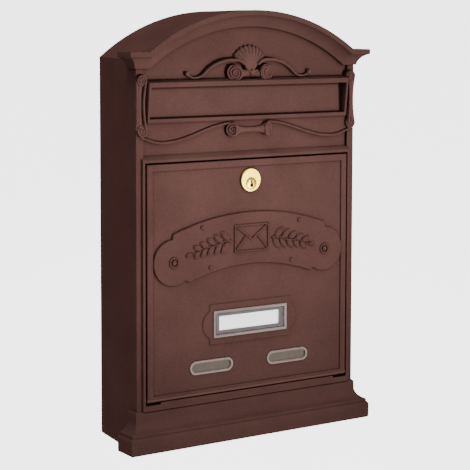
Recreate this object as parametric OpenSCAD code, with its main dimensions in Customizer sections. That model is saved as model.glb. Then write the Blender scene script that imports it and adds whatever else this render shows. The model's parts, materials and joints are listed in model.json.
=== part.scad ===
// Wall mailbox of cast aluminium: a shallow housing that hangs on a wall, with an
// ornamental front casting, a letter slot with an inward flap, and a lockable door
// that is hinged along its lower edge.
//
// Axes: X to the right, Y into the wall, Z up. The wall is the plane y = 0, and the
// origin is the centre of the four wall holes. Depths on the front are counted
// forward from the face of the pilasters, and heights from the foot of the plinth.

/* [Body] */
// Width between the outer faces of the pilasters
body_w = 280; // [272:1:300]
// Depth from the wall to the face of the pilasters
body_d = 80; // [74:1:110]
// Height from the foot of the plinth to the crown of the roof
body_h = 458; // [440:1:480]
// Rise of the crown above the flat tops of the cornice
arch_rise = 42.6; // [38:0.2:48]
// Length of the flat top of the cornice beside the arch, up to the pilaster's face
ear_flat = 9.9; // [8:0.1:12]
// Thickness of the housing's walls
wall_t = 2.5; // [2:0.1:3.2]
// Draft of each side of the housing, from the front casting to the wall
side_draft = 2.3; // [1:0.1:3]
// Draft of the housing's roof
roof_draft = 1; // [0.5:0.1:2]
// Rise of the housing's underside, from the front casting to the wall
floor_rise = 4.2; // [2:0.1:6]
// Length of the housing's lip inside the front casting
lip_len = 8; // [6:0.5:8.5]
// Thickness of the lip
lip_t = 2; // [1.6:0.1:2.4]

/* [Wall holes] */
// Distance between the wall holes from left to right
hole_dx = 180; // [140:5:200]
// Distance between the wall holes from bottom to top
hole_dz = 260; // [200:5:270]
// Height of the middle of the wall holes above the foot of the plinth
hole_mid_z = 220; // [200:1:230]
// Diameter of the wall holes
hole_d = 7; // [5:0.1:8]
// Diameter of the drain holes in the floor
drain_d = 5; // [3:0.5:7]
// Distance of the drain holes from the middle
drain_x = 90; // [60:1:110]

/* [Front casting] */
// Thickness of the casting's walls
front_t = 3; // [2.6:0.1:3.2]
// Depth of the casting's skirt behind the pilasters' face
skirt_d = 15; // [14:0.5:18]
// Depth of the sunk fields behind the pilasters' face
field_d = 3; // [2:0.1:3.2]
// Width of the pilasters beside the fields
pilaster_w = 9; // [7:0.1:10]
// Height of the base moulding
base_h = 43; // [41:0.5:46]
// Projection of the plinth, the base's lowest member
plinth_out = 14.2; // [13.6:0.1:14.8]
// Height of the plinth's flat face
plinth_h = 15; // [13:0.5:16]
// Radius of the plinth's lower edge
plinth_r = 2.5; // [1:0.1:3]
// Radius of the quarter round on top of the plinth
ovolo_r = 4; // [3.5:0.1:4.5]
// Projection of the narrow edge above the quarter round
base_edge_out = 12.05; // [11.6:0.05:12.6]
// Radius of the hollow of the base moulding
base_cove_r = 13.3; // [13:0.1:13.8]
// Projection of the thin fillet on top of each hollow
fillet_out = 2.05; // [1.6:0.05:2.4]
// Height of the cornice
cornice_h = 17.4; // [16.5:0.1:18]
// Projection of the cornice's upper band
cornice_out = 12.9; // [12.4:0.1:13.2]
// Height of the cornice's upper band
cornice_band = 5.4; // [5:0.1:6]
// Radius of the cornice's hollow
cornice_cove_r = 15; // [14.6:0.1:15.4]

/* [Letter slot] */
// Clear height of the slot
slot_h = 32.7; // [30:0.1:35]
// Distance from each side of the slot to the pilaster's outer face
slot_side = 15; // [14:0.5:18]
// Distance from the slot to the foot of the cornice
slot_drop = 19.3; // [18:0.1:22]
// Height of the slot frame's upper bar
bar_top = 5; // [4.6:0.1:5.6]
// Height of the slot frame's lower bar
bar_low = 3.8; // [3:0.1:4.5]
// Width of the slot frame's side bars
bar_side = 2.8; // [2.4:0.1:3.2]
// Projection of the slot frame at its upper edge
bar_out_top = 7.4; // [7:0.1:8]
// Projection of the slot frame at its lower edge
bar_out_low = 2.7; // [2.4:0.1:3.5]
// Thickness of the flap's plate
flap_t = 1.4; // [1.2:0.1:1.6]
// Diameter of the flap's rod
rod_d = 2.5; // [2.2:0.1:2.8]
// Wall of the flap's rolled eye around its rod
eye_t = 0.9; // [0.8:0.05:1]
// Overlap of the flap behind the edges of the slot
flap_lap = 2; // [1.5:0.1:2.2]

/* [Door] */
// Height of the ledge between the base moulding and the door
ledge_h = 7.9; // [7:0.1:9]
// Height of the panel between the door and the slot
apron_h = 46.7; // [44:0.1:50]
// Gap around the door
door_gap = 1.8; // [1.2:0.1:2.2]
// Width of the raised surround's crest around the door
crest_w = 2.8; // [2.4:0.1:3]
// Distance from the pilaster's outer face to the surround's crest
surround_side = 6.8; // [6.4:0.1:7.4]
// Projection of the door's surround
surround_out = 2.5; // [2:0.1:2.6]
// Projection of the door's rim in front of the pilasters
door_out = 3; // [2.8:0.1:3.2]
// Width of the door's rim
rim_w = 7; // [6.6:0.1:8]
// Depth of the door's sunk panel behind its rim
panel_d = 1.3; // [1:0.1:1.6]
// Thickness of the door's panel
panel_t = 2.2; // [2:0.1:2.4]
// Radius of the door's rounded lower edge, around its hinge
barrel_r = 3.4; // [3.2:0.1:3.6]
// Diameter of the hinge pins
pin_d = 3; // [2.4:0.1:3.2]
// Length of each hinge pin
pin_len = 11; // [9.5:0.5:11.5]
// Depth of the bore for a hinge pin, from each side of the door
pin_bore = 17; // [12:0.5:20]
// Depth of the open pocket below each of the door's lower corners
pocket_d = 2.2; // [1.5:0.1:2.5]
// Width of that pocket
pocket_w = 18; // [14:0.5:22]

/* [Lock] */
// Distance from the door's upper edge to the lock's centre
lock_drop = 22.1; // [21:0.1:26]
// Diameter of the lock's face
lock_face_d = 25.5; // [25:0.1:27]
// Diameter of the lock's barrel
lock_barrel_d = 22; // [21:0.1:22.6]
// Diameter of the lock's plug
plug_d = 12.5; // [12:0.1:13]
// Distance of the plug below the centre of the lock's face
plug_low = 3.6; // [3.2:0.1:4]
// Height of the keyway
key_h = 7; // [6:0.1:8]
// Length of the cam from the plug's axis to its tip
cam_len = 32; // [30:0.5:36]
// Width of the cam
cam_w = 14; // [13:0.5:16]
// Thickness of the cam
cam_t = 2; // [1.6:0.1:2.4]
// Width of the lock nut across its flats
nut_af = 28; // [27.5:0.1:29]
// Thickness of the lock nut
nut_t = 4; // [3:0.1:4.2]

/* [Windows] */
// Width of the name window
name_w = 95.4; // [80:0.2:100]
// Height of the name window
name_h = 29.3; // [26:0.1:31]
// Height of the name window's centre on the door, as a share of the door's height
name_share = 0.3; // [0.28:0.005:0.31]
// Width of the name card
card_w = 80; // [60:0.5:84]
// Height of the name card
card_h = 16.4; // [12:0.1:18]
// Length of each view window
view_w = 54.5; // [44:0.5:60]
// Height of each view window
view_h = 14.8; // [12:0.1:16]
// Distance of each view window's centre from the middle of the door
view_x = 49.3; // [40:0.1:60]
// Height of the view windows' centres, as a share of the door's height
view_share = 0.121; // [0.11:0.001:0.13]

/* [Relief] */
// Thickness of the arched plate on the door
plate_t = 1.2; // [0.8:0.1:1.3]
// Height of the arched plate's centre line, as a share of the door's height
plate_share = 0.662; // [0.65:0.002:0.67]
// Width of the arched plate's band
plate_w = 55; // [50:0.5:58]
// Radius of the arched plate's centre line
plate_r = 252.5; // [230:0.5:290]
// Distance of the plate's ring ornaments from the middle
ring_x = 97.2; // [92:0.1:98]
// Number of ribs in the shell
shell_ribs = 9; // [5:2:11]
// Radius of the shell
shell_r = 25; // [20:0.5:26]

/* [Hidden] */
$fn = 64;

// Margin by which a cutting form overshoots a face
cut = 1;
// Clearance between faces that part or slide
gap = 0.3;
// Clearance around a fixed piece in its seat
seat_gap = 0.05;
// Radial clearance of a shaft that turns
run_gap = 0.06;

body_color = "#5a3630";
brass_color = "#d8c27a";
steel_color = "#b9babd";
clear_color = "#c9ccc0";

// Levels of the front, counted forward from the pilasters' face
back_t = -(field_d + front_t);
field_t = -field_d;

// Heights of the main forms above the foot of the plinth
half_w = body_w / 2;
ear_z = body_h - arch_rise;
cornice_z = ear_z - cornice_h;
arch_c = half_w - ear_flat;
arch_r = (arch_c * arch_c + arch_rise * arch_rise) / (2 * arch_rise);
arch_z = body_h - arch_r;
slot_z1 = cornice_z - slot_drop;
slot_z0 = slot_z1 - slot_h;
slot_hw = half_w - slot_side;
door_z0 = base_h + ledge_h;
door_z1 = slot_z0 - apron_h;
surround_hw = half_w - surround_side;
opening_hw = surround_hw - crest_w;
door_hw = opening_hw - door_gap;
opening_z0 = door_z0 - 0.5;
opening_z1 = door_z1 + door_gap;

// Centres of the mouldings' hollows
base_cove_drop = 8.6;
cornice_cove_e = -2.5;
cornice_cove_x = fillet_out - 0.18 + sqrt(cornice_cove_r * cornice_cove_r
    - cornice_cove_e * cornice_cove_e);

// Axis of the door's hinge, and the two faces of the door's panel
hinge_t = door_out - barrel_r;
hinge_z = door_z0 + barrel_r;
pin_seat = 2.9;
panel_t1 = door_out - panel_d;
panel_t0 = panel_t1 - panel_t;
rim_back_t = panel_t0 - 2.5;

// Hinge of the flap, inside the hollow upper bar of the slot frame
rod_t = -1.4;
rod_z = slot_z1 + 2.1;
seat_t = field_t - 0.1;
flap_t1 = seat_t - gap;
eye_r = rod_d / 2 + run_gap + eye_t;

// Meeting of the housing and the casting, and the inner half width of its lip
seam_y = -(body_d - skirt_d);
lip_inset = front_t + gap;
lip_hw = half_w - lip_inset - lip_t;

// Screws that hold the front casting to the housing
screw_x = 120;
screw_zs = [door_z0 + 26, door_z1 - 16];
screw_d = 4;
head_d = 7.6;
head_h = 2.4;
lug_t = 3;
lug_h = 12;
post_d = 10;
screw_grip = 9;
pilot_len = 10;
lug_t1 = back_t - 0.6;

// Keeper plates of the flap's rod, and their screws
keeper_w = 6.4;
keeper_h = 13.4;
keeper_t = 1.5;
keeper_x = slot_hw + 2.8;
keeper_z0 = rod_z - 3.4;
keeper_screw_d = 2.4;
keeper_screw_x = keeper_x + keeper_w / 2;
keeper_screw_z = keeper_z0 + keeper_h - 3.2;
keeper_screw_len = 4;
rod_hw = slot_hw + 6;

// Inner parts of the lock
shaft_r = 4.6;
square_w = 6;
washer_t = 0.8;
cam_screw_d = 3;
plug_t1 = panel_t1 + 2.9;
card_t1 = 0.1;

// Moves the whole part so that the middle of the wall holes is the origin
module place() {
    translate([0, 0, -hole_mid_z])
        children();
}

// Moves a form drawn around the pilasters' face to its place in front of the wall
module front() {
    place()
        translate([0, -body_d, 0])
            children();
}

// Extrudes an outline drawn as seen from the front, from one depth to another
module relief(from, to) {
    translate([0, -from, 0])
        rotate([90, 0, 0])
            linear_extrude(to - from)
                children();
}

// Extrudes a section drawn in depth and height along the width
module along_x(len) {
    translate([-len / 2, 0, 0])
        rotate([90, 0, 90])
            linear_extrude(len)
                children();
}

// Draws a shape and its mirror image on the other side of the middle
module both_sides() {
    for (side = [0, 1])
        mirror([side, 0, 0])
            children();
}

// Rectangle that is centred on the middle and starts at a given height
module panel2d(half, z0, z1) {
    translate([-half, z0])
        square([2 * half, z1 - z0]);
}

// Slot with round ends, centred on the origin
module stadium(len, h) {
    square([len - h, h], center = true);
    for (side = [-1, 1])
        translate([side * (len - h) / 2, 0])
            circle(d = h);
}

// Outline of the mailbox seen from the front, with an arched top
module outline(inset) {
    panel2d(half_w - inset, inset, arch_z + arch_c);
    intersection() {
        translate([0, arch_z])
            circle(r = arch_r - inset, $fn = 180);
        panel2d(half_w - inset, arch_z, body_h);
    }
}

// Section of the base moulding: projection across, height upward
module base_section() {
    cove_x = fillet_out + base_cove_r;
    cove_z = base_h - base_cove_drop;
    translate([-cut, plinth_r])
        square([plinth_out + cut, plinth_h - plinth_r]);
    translate([-cut, 0])
        square([plinth_out - plinth_r + cut, plinth_h]);
    translate([plinth_out - plinth_r, plinth_r])
        circle(r = plinth_r);
    translate([plinth_out - ovolo_r, plinth_h])
        circle(r = ovolo_r);
    difference() {
        polygon([[-cut, 0], [base_edge_out, 0], [base_edge_out, cove_z],
            [fillet_out, cove_z], [fillet_out, base_h - fillet_out],
            [0, base_h], [-cut, base_h]]);
        translate([cove_x, cove_z])
            circle(r = base_cove_r, $fn = 96);
    }
}

// Section of the cornice: projection across, height upward from its foot
module cornice_section() {
    difference() {
        translate([-cut, 0])
            square([cornice_out + cut, cornice_h]);
        translate([cornice_cove_x, cornice_cove_e])
            circle(r = cornice_cove_r, $fn = 96);
    }
}

// Base moulding with mitred returns; an inset gives the hollow behind it
module base_form(inset) {
    back = skirt_d + (inset > 0 ? cut : 0);
    intersection() {
        along_x(2 * body_w) {
            translate([inset, 0])
                mirror([1, 0])
                    base_section();
            translate([inset, 0])
                square([back - inset, base_h]);
        }
        translate([0, back, 0])
            rotate([90, 0, 0])
                linear_extrude(back + 2 * plinth_out)
                    both_sides() {
                        translate([half_w - inset, 0])
                            base_section();
                        square([half_w - inset, base_h]);
                    }
        translate([-body_w, -body_d, inset])
            cube([2 * body_w, 2 * body_d, base_h - inset]);
    }
}

// Cornice with an arch between two flat ends; an inset gives the hollow behind it
module cornice_form(inset) {
    back = skirt_d + (inset > 0 ? cut : 0);
    low = field_d + cut + inset;
    far = arch_r + 4 * cornice_h;
    foot_z = cornice_z + inset;
    foot_r = arch_r - cornice_h + inset;
    intersection() {
        relief(-back, cornice_out + cut) {
            panel2d(half_w + 2 * cornice_out, foot_z, ear_z - inset);
            intersection() {
                translate([0, arch_z])
                    circle(r = arch_r - inset, $fn = 180);
                panel2d(body_w, foot_z, body_h);
            }
        }
        translate([0, inset, arch_z])
            rotate([90, 0, 0])
                rotate_extrude($fn = 180) {
                    translate([foot_r, 0])
                        mirror([1, -1])
                            cornice_section();
                    translate([arch_r - cut, -cut])
                        square([far - arch_r, cornice_out + cut]);
                    translate([foot_r, inset - back])
                        square([far - foot_r, back - inset]);
                    translate([0, inset - back])
                        square([far, back - low]);
                }
        along_x(2 * body_w) {
            translate([inset, foot_z])
                mirror([1, 0])
                    cornice_section();
            translate([inset - cornice_out, ear_z - cut])
                square([cornice_out + cut, arch_rise + cut]);
            translate([inset, foot_z])
                square([back - inset, far]);
        }
        translate([0, back, 0])
            rotate([90, 0, 0])
                linear_extrude(back + 2 * cornice_out)
                    both_sides() {
                        translate([half_w - inset, foot_z])
                            cornice_section();
                        translate([half_w - inset - cut, ear_z - cut])
                            square([cornice_out + cut, arch_rise + cut]);
                        translate([0, foot_z])
                            square([half_w - inset, far]);
                    }
    }
}

// Block with a flat face and bevelled sides, from the field to its crest
module bevelled_block(half, z0, z1, foot_t, top_t0, top_t1, bevel) {
    tall = z1 - z0;
    intersection() {
        along_x(2 * body_w)
            polygon([[-foot_t, z0 - bevel], [-top_t0, z0], [-top_t1, z1],
                [-foot_t, z1 + bevel]]);
        translate([0, 0, z0 - tall])
            linear_extrude(3 * tall)
                polygon([[-half - bevel, -foot_t], [-half, -top_t1],
                    [half, -top_t1], [half + bevel, -foot_t]]);
    }
}

// Part of a ring between two angles, less than half a turn apart
module arc_band(r, w, from, to) {
    reach = 2 * r + w;
    mid = (from + to) / 2;
    intersection() {
        difference() {
            circle(r = r + w / 2, $fn = 180);
            circle(r = r - w / 2, $fn = 180);
        }
        polygon([[0, 0], reach * [cos(from), sin(from)],
            reach * [cos(mid), sin(mid)], reach * [cos(to), sin(to)]]);
    }
}

// Roll with a waist, like a rolled sheet tied in the middle, standing on z = 0
module spool(len, end_r, waist_r) {
    rise = end_r - waist_r;
    r = (rise * rise + len * len / 4) / (2 * rise);
    rotate_extrude()
        difference() {
            square([end_r, len]);
            translate([waist_r + r, len / 2])
                circle(r = r, $fn = 120);
        }
}

// Rolled end of a scroll: a disc with a raised edge and a raised eye
module volute(r, from, to) {
    relief(from, to - 0.8)
        circle(r = r);
    relief(from, to) {
        difference() {
            circle(r = r - 0.6);
            circle(r = r * 0.72);
        }
        circle(r = r * 0.4);
    }
}

// Height of the swag's edge below the slot, at a distance x from the middle
swag_top = slot_z0 - 6.7;
swag_low = slot_z0 - 25;
swag_flat_x = 20;
swag_low_x = half_w - 32;
swag_end_len = 62;
function swag_wave(turn) = (swag_top + swag_low) / 2 + (swag_top - swag_low) / 2 * cos(turn);
function swag_z(x) = abs(x) < swag_low_x
    ? swag_wave(180 * (max(abs(x), swag_flat_x) - swag_flat_x) / (swag_low_x - swag_flat_x))
    : swag_wave(180 + 180 * (abs(x) - swag_low_x) / swag_end_len);

// Strip along the swag's edge, out to a distance from the middle
module swag_strip(half, below, above) {
    step = half / 14;
    polygon(concat(
        [for (i = [-14:14]) [i * step, swag_z(i * step) + above]],
        [for (i = [14:-1:-14]) [i * step, swag_z(i * step) - below]]));
}

// Sunk fields of the casting: the arched one and the one above the door
module fields() {
    field_hw = half_w - pilaster_w;
    panel2d(field_hw, slot_z1, cornice_z);
    intersection() {
        translate([0, arch_z])
            circle(r = arch_r - cornice_h, $fn = 180);
        panel2d(field_hw, slot_z1, body_h);
    }
    intersection() {
        panel2d(field_hw, door_z1, slot_z0);
        swag_strip(half_w, slot_z0 - base_h, 0);
    }
}

// Ribbon that runs from the crest's volute down to a small curl
crest_z = slot_z1 + 26.8;
crest_x = 24.5;
crest_r = 46;
curl_r = 16;
ribbon_w = 3.2;
volute_x = 19.8;
volute_z = slot_z1 + 12.4;
module crest_ribbon() {
    join = 45;
    translate([crest_x, crest_z - crest_r])
        arc_band(crest_r, ribbon_w, join, 100);
    translate([crest_x + (crest_r + curl_r) * cos(join),
        crest_z - crest_r + (crest_r + curl_r) * sin(join)]) {
        arc_band(curl_r, ribbon_w, 180 + join, 302);
        translate(curl_r * [cos(302), sin(302)])
            circle(r = 2.4);
    }
}

// Shell that leans back against the field, with a groove between its ribs
shell_spread = 94;
module shell() {
    tip_r = 2.6;
    reach = shell_r - tip_r;
    step = shell_spread / (shell_ribs - 1);
    turns = [for (i = [0:shell_ribs - 1]) (i - (shell_ribs - 1) / 2) * step];
    translate([0, -2, slot_z1 + 15.5])
        rotate([-10.5, 0, 0])
            difference() {
                relief(-3, 1.9) {
                    polygon(concat([[0, 0]], [for (turn = turns) reach * [sin(turn), cos(turn)]]));
                    for (turn = turns)
                        translate(reach * [sin(turn), cos(turn)])
                            circle(r = tip_r);
                }
                for (turn = [for (i = [1:shell_ribs - 1]) turns[i] - step / 2])
                    rotate([0, turn, 0])
                        translate([0, -2.1, 7])
                            cylinder(r = 0.65, h = shell_r);
            }
}

// Rolls at the sides of the slot, with a volute at each end
side_roll_x = half_w - 5.5;
module side_scroll() {
    end_z0 = slot_z0 - 12.5;
    end_z1 = slot_z1 + 7.8;
    translate([side_roll_x, -1.45, end_z0 + 3])
        spool(end_z1 - end_z0 - 6, 7.4, 4.8);
    for (z = [end_z0, end_z1])
        translate([side_roll_x - 2, 0, z])
            volute(6.4, -field_d - cut, 4.6);
}

// Relief of the casting: crest, swag and rolls
module front_relief() {
    shell();
    both_sides() {
        relief(-field_d - cut, 1.5)
            crest_ribbon();
        translate([volute_x, 0, volute_z])
            rotate([0, 0, 14])
                volute(9.6, -field_d - cut, 4.6);
        side_scroll();
        translate([23.2, -1.5, slot_z0 - 14.6])
            rotate([0, 0, 20])
                volute(7.6, -3, 3.4);
    }
    translate([-volute_x, 0, volute_z])
        rotate([0, 90, 0])
            spool(2 * volute_x, 5.4, 2);
    translate([-23, -1.5, slot_z0 - 14.6])
        rotate([0, 90, 0])
            spool(46, 6.4, 2.6);
    relief(-field_d - cut, 1.4)
        swag_strip(half_w - 1, 1.4, 1.4);
}

// Ear that carries a housing screw, with a pad that the door closes against
module lug() {
    pad_x = opening_hw - 5.2;
    translate([screw_x - 4.6, -lug_t1, -lug_h / 2])
        cube([lip_hw - gap - screw_x + 4.6, lug_t, lug_h]);
    translate([opening_hw, -lug_t1 - cut, -lug_h / 2])
        cube([lip_hw - gap - opening_hw, lug_t + cut, lug_h]);
    translate([pad_x, -lug_t1, -lug_h / 2])
        mirror([0, 1, 0])
            cube([4, rim_back_t - gap - lug_t1, lug_h]);
}

// Pocket behind the upper bar of the slot frame, for the flap's hinge
module flap_pocket() {
    pocket_hw = slot_hw + flap_lap + 0.5;
    relief(back_t - cut, seat_t)
        panel2d(pocket_hw, slot_z0 - flap_lap - gap, rod_z);
    relief(back_t - cut, rod_t + eye_r + gap)
        panel2d(pocket_hw, rod_z - eye_r - gap, rod_z + eye_r + flap_t + 0.3);
    both_sides() {
        relief(back_t - cut, rod_t)
            translate([slot_hw, rod_z - rod_d / 2 - seat_gap])
                square([rod_hw - slot_hw + 0.4, rod_d + 2 * seat_gap]);
        translate([slot_hw, -rod_t, rod_z])
            rotate([0, 90, 0])
                cylinder(r = rod_d / 2 + seat_gap, h = rod_hw - slot_hw + 0.4);
    }
}

// Front casting before its openings are cut
module casting_shell() {
    difference() {
        union() {
            relief(-skirt_d, 0)
                outline(0);
            base_form(0);
            cornice_form(0);
        }
        relief(field_t, cornice_out)
            fields();
        relief(-skirt_d - cut, back_t)
            outline(front_t);
        base_form(front_t);
        cornice_form(front_t);
    }
    bevelled_block(surround_hw, base_h - cut, opening_z1 + crest_w, back_t,
        surround_out, surround_out, (surround_out - back_t) * 0.88);
    bevelled_block(slot_hw + bar_side, slot_z0 - bar_low, slot_z1 + bar_top,
        field_t, bar_out_low, bar_out_top, 3);
    front_relief();
}

module front_frame() {
    front() color(body_color) difference() {
        union() {
            difference() {
                casting_shell();
                relief(back_t - cut, cornice_out)
                    panel2d(opening_hw, opening_z0, opening_z1);
                relief(back_t - cut, cornice_out)
                    panel2d(slot_hw, slot_z0, slot_z1);
                flap_pocket();
            }
            both_sides()
                for (z = screw_zs)
                    translate([0, 0, z])
                        lug();
        }
        both_sides() {
            relief(hinge_t - barrel_r, cornice_out)
                translate([opening_hw - pocket_w, opening_z0 - pocket_d])
                    square([pocket_w, pocket_d + cut]);
            translate([opening_hw - cut, -hinge_t, hinge_z])
                rotate([0, 90, 0])
                    cylinder(r = pin_d / 2 + seat_gap, h = cut + pin_seat + gap);
            for (z = screw_zs)
                translate([screw_x, -lug_t1 - cut, z])
                    rotate([-90, 0, 0])
                        cylinder(r = screw_d / 2 + gap, h = lug_t + 2 * cut);
            translate([keeper_screw_x, -back_t + cut, keeper_screw_z])
                rotate([90, 0, 0])
                    cylinder(r = keeper_screw_d / 2 + seat_gap, h = keeper_screw_len);
        }
    }
}

// Form of the housing with its drafted sides, roof and floor, between two depths
module housing_form(inset, from, to) {
    draft = side_draft / -seam_y;
    roof = roof_draft / -seam_y;
    fall = floor_rise / -seam_y;
    wall_hw = half_w - side_draft - inset;
    wall_r = arch_r - roof_draft - inset;
    spring_z = arch_z + arch_c * 0.9;
    intersection() {
        linear_extrude(2 * body_h)
            polygon([[-wall_hw + draft * to, to], [-wall_hw + draft * from, from],
                [wall_hw - draft * from, from], [wall_hw - draft * to, to]]);
        along_x(2 * body_w)
            polygon([[to, floor_rise + inset + fall * to],
                [from, floor_rise + inset + fall * from],
                [from, body_h + cut], [to, body_h + cut]]);
        union() {
            translate([0, from, arch_z])
                rotate([90, 0, 0])
                    cylinder(r1 = wall_r - roof * from, r2 = wall_r - roof * to,
                        h = from - to, $fn = 180);
            translate([-body_w / 2, to, 0])
                cube([body_w, from - to, spring_z]);
        }
    }
}

// Lip that reaches into the casting; an inset gives the space inside it
module housing_lip(inset, from, to) {
    translate([0, -body_d, 0])
        relief(from, to)
            outline(lip_inset + inset);
}

module housing() {
    step_y = seam_y + 2 * lip_t;
    post_y = -body_d - lug_t1 + lug_t;
    place() color(body_color) difference() {
        union() {
            difference() {
                union() {
                    housing_form(0, 0, seam_y);
                    housing_lip(0, -skirt_d - cut, lip_len - skirt_d);
                }
                housing_form(wall_t, -wall_t, step_y);
                housing_lip(lip_t, -body_d - step_y - cut, lip_len - skirt_d + cut);
            }
            for (side = [-1, 1])
                for (z = screw_zs) {
                    translate([side * screw_x, -wall_t + cut, z])
                        rotate([90, 0, 0])
                            cylinder(d = post_d, h = -post_y - wall_t + cut);
                    translate([side * (screw_x + half_w - wall_t) / 2,
                        (step_y - wall_t) / 2, z])
                        cube([half_w - wall_t - screw_x, -step_y - wall_t + cut, 2],
                            center = true);
                }
        }
        for (side = [-1, 1]) {
            for (z = screw_zs)
                translate([side * screw_x, post_y + pilot_len, z])
                    rotate([90, 0, 0])
                        cylinder(d = screw_d, h = pilot_len + cut);
            for (z = [-hole_dz, hole_dz] / 2)
                translate([side * hole_dx / 2, cut, hole_mid_z + z])
                    rotate([90, 0, 0])
                        cylinder(d = hole_d, h = wall_t + 2 * cut);
            translate([side * drain_x, seam_y / 2, -cut])
                cylinder(d = drain_d, h = floor_rise + wall_t + 3 * cut);
        }
    }
}

// Pan head screw that points into the wall, with its head's underside at y = 0
module screw(d, len, head, high) {
    difference() {
        union() {
            translate([0, -high, 0])
                rotate([-90, 0, 0])
                    cylinder(d1 = head * 0.8, d2 = head, h = high);
            rotate([-90, 0, 0])
                cylinder(d = d, h = len);
        }
        for (turn = [0, 90])
            translate([0, -high, 0])
                rotate([0, turn, 0])
                    cube([head * 0.55, high * 1.1, head * 0.14], center = true);
    }
}

module frame_screws() {
    front() color(steel_color) both_sides()
        for (z = screw_zs)
            translate([screw_x, -lug_t1, z])
                screw(screw_d - 2 * seat_gap, lug_t + screw_grip, head_d, head_h);
}

// Plate of the flap with the eye that is rolled around its rod
module letter_flap() {
    flap_hw = slot_hw + flap_lap;
    front() color(body_color)
        along_x(2 * flap_hw)
            difference() {
                union() {
                    translate([-flap_t1, slot_z0 - flap_lap])
                        square([flap_t, rod_z + 0.8 - slot_z0 + flap_lap]);
                    translate([-rod_t, rod_z + 0.8 - flap_t])
                        square([rod_t - flap_t1 + cut / 2, flap_t]);
                    translate([-rod_t, rod_z])
                        circle(r = eye_r);
                }
                translate([-rod_t, rod_z])
                    circle(r = rod_d / 2 + run_gap);
            }
}

module flap_rod() {
    front() color(steel_color)
        translate([-rod_hw, -rod_t, rod_z])
            rotate([0, 90, 0])
                cylinder(d = rod_d, h = 2 * rod_hw);
}

// Small plate that closes the notch behind one end of the rod
module rod_keeper() {
    tongue_w = rod_hw - slot_hw - 3.6;
    difference() {
        union() {
            translate([keeper_x, -back_t, keeper_z0])
                cube([keeper_w, keeper_t, keeper_h]);
            translate([keeper_x + 0.6, -rod_t + rod_d / 2 + seat_gap, rod_z - rod_d / 2 + seat_gap])
                cube([tongue_w, rod_t - back_t - rod_d / 2 - seat_gap + cut / 2,
                    rod_d - 2 * seat_gap]);
        }
        translate([keeper_screw_x, -back_t - cut, keeper_screw_z])
            rotate([-90, 0, 0])
                cylinder(r = keeper_screw_d / 2 + seat_gap, h = keeper_t + 2 * cut);
    }
}

module rod_keeper_left() {
    front() color(steel_color) mirror([1, 0, 0])
        rod_keeper();
}

module rod_keeper_right() {
    front() color(steel_color)
        rod_keeper();
}

module keeper_screws() {
    front() color(steel_color) both_sides()
        translate([keeper_screw_x, -back_t + keeper_t, keeper_screw_z])
            rotate([0, 0, 180])
                screw(keeper_screw_d, keeper_t + keeper_screw_len - cut - 0.4, 5, 1.4);
}

// Arched plate with a round lobe at each end
module arched_plate2d() {
    turn = asin(ring_x / plate_r);
    end_turn = turn - 2.3;
    translate([0, -plate_r]) {
        arc_band(plate_r, plate_w, 90 - end_turn, 90 + end_turn);
        for (side = [-1, 1])
            translate(plate_r * [side * sin(turn), cos(turn)])
                circle(r = plate_w / 2 - 3.5);
    }
}

// Leaf with two pointed ends, lying along X
module leaf2d(len, wide) {
    r = (len * len + wide * wide) / (4 * wide);
    intersection() {
        translate([0, r - wide / 2])
            circle(r = r);
        translate([0, wide / 2 - r])
            circle(r = r);
    }
}

// Ornament on the arched plate: an envelope between two leafy sprays
leaf_turns = [6.6, 9.2, 11.8, 14.4];
envelope_w = 42;
envelope_h = 27;
line_w = 1.6;
module plate_ornament2d() {
    translate([0, -plate_r])
        both_sides() {
            arc_band(plate_r, 1.4, 90 - 17.6, 90 - 6);
            for (turn = leaf_turns)
                for (lean = [-1, 1])
                    rotate([0, 0, -turn])
                        translate([0, plate_r])
                            rotate([0, 0, lean * 42])
                                translate([7.6, 0])
                                    leaf2d(13.5, 5.2);
            rotate([0, 0, -17.4])
                translate([4, plate_r])
                    leaf2d(11, 5);
        }
    difference() {
        square([envelope_w, envelope_h], center = true);
        square([envelope_w - 2 * line_w, envelope_h - 2 * line_w], center = true);
    }
    both_sides()
        polygon([[0, -2.6], [envelope_w / 2 - line_w, envelope_h / 2 - line_w - 0.6],
            [envelope_w / 2 - line_w, envelope_h / 2 - line_w + 1.6], [0, -0.4]]);
}

// Rings at the plate's ends and the four studs along its edges
module plate_studs() {
    turn = asin(ring_x / plate_r);
    stud_turn = 13.15;
    stud_in = 5.3;
    face = panel_t1 + plate_t;
    translate([0, 0, -plate_r])
        for (side = [-1, 1]) {
            rotate([0, side * turn, 0])
                translate([0, 0, plate_r])
                    relief(panel_t1, face + 0.8) {
                        difference() {
                            circle(r = 5.8);
                            circle(r = 4.2);
                        }
                        circle(r = 2.6);
                    }
            for (edge = [-1, 1])
                rotate([0, side * stud_turn, 0])
                    translate([0, 0, plate_r + edge * (plate_w / 2 - stud_in)])
                        relief(panel_t1, face + 0.7)
                            circle(r = 1.7);
        }
}

// Raised ground of the name window, with a bow at each end
module name_ground2d() {
    high = name_h + 13.2;
    wide = name_w + 7.8;
    bow_h = 28;
    bow_out = 8.7;
    bow_r = (bow_h * bow_h / 4 + bow_out * bow_out) / (2 * bow_out);
    square([wide, high], center = true);
    for (side = [-1, 1])
        translate([side * (wide / 2 + bow_out - bow_r), 0])
            circle(r = bow_r);
}

// Levels and margins of the name window and its card
ground_t = panel_t1 + 0.7;
name_lip = 3.7;
name_mid = door_z0 + name_share * (door_z1 - door_z0);
view_mid = door_z0 + view_share * (door_z1 - door_z0);
view_lip = 2.2;
lock_z = door_z1 - lock_drop;
plug_z = lock_z - plug_low;
barrel_back_t = -7.5;

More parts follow.
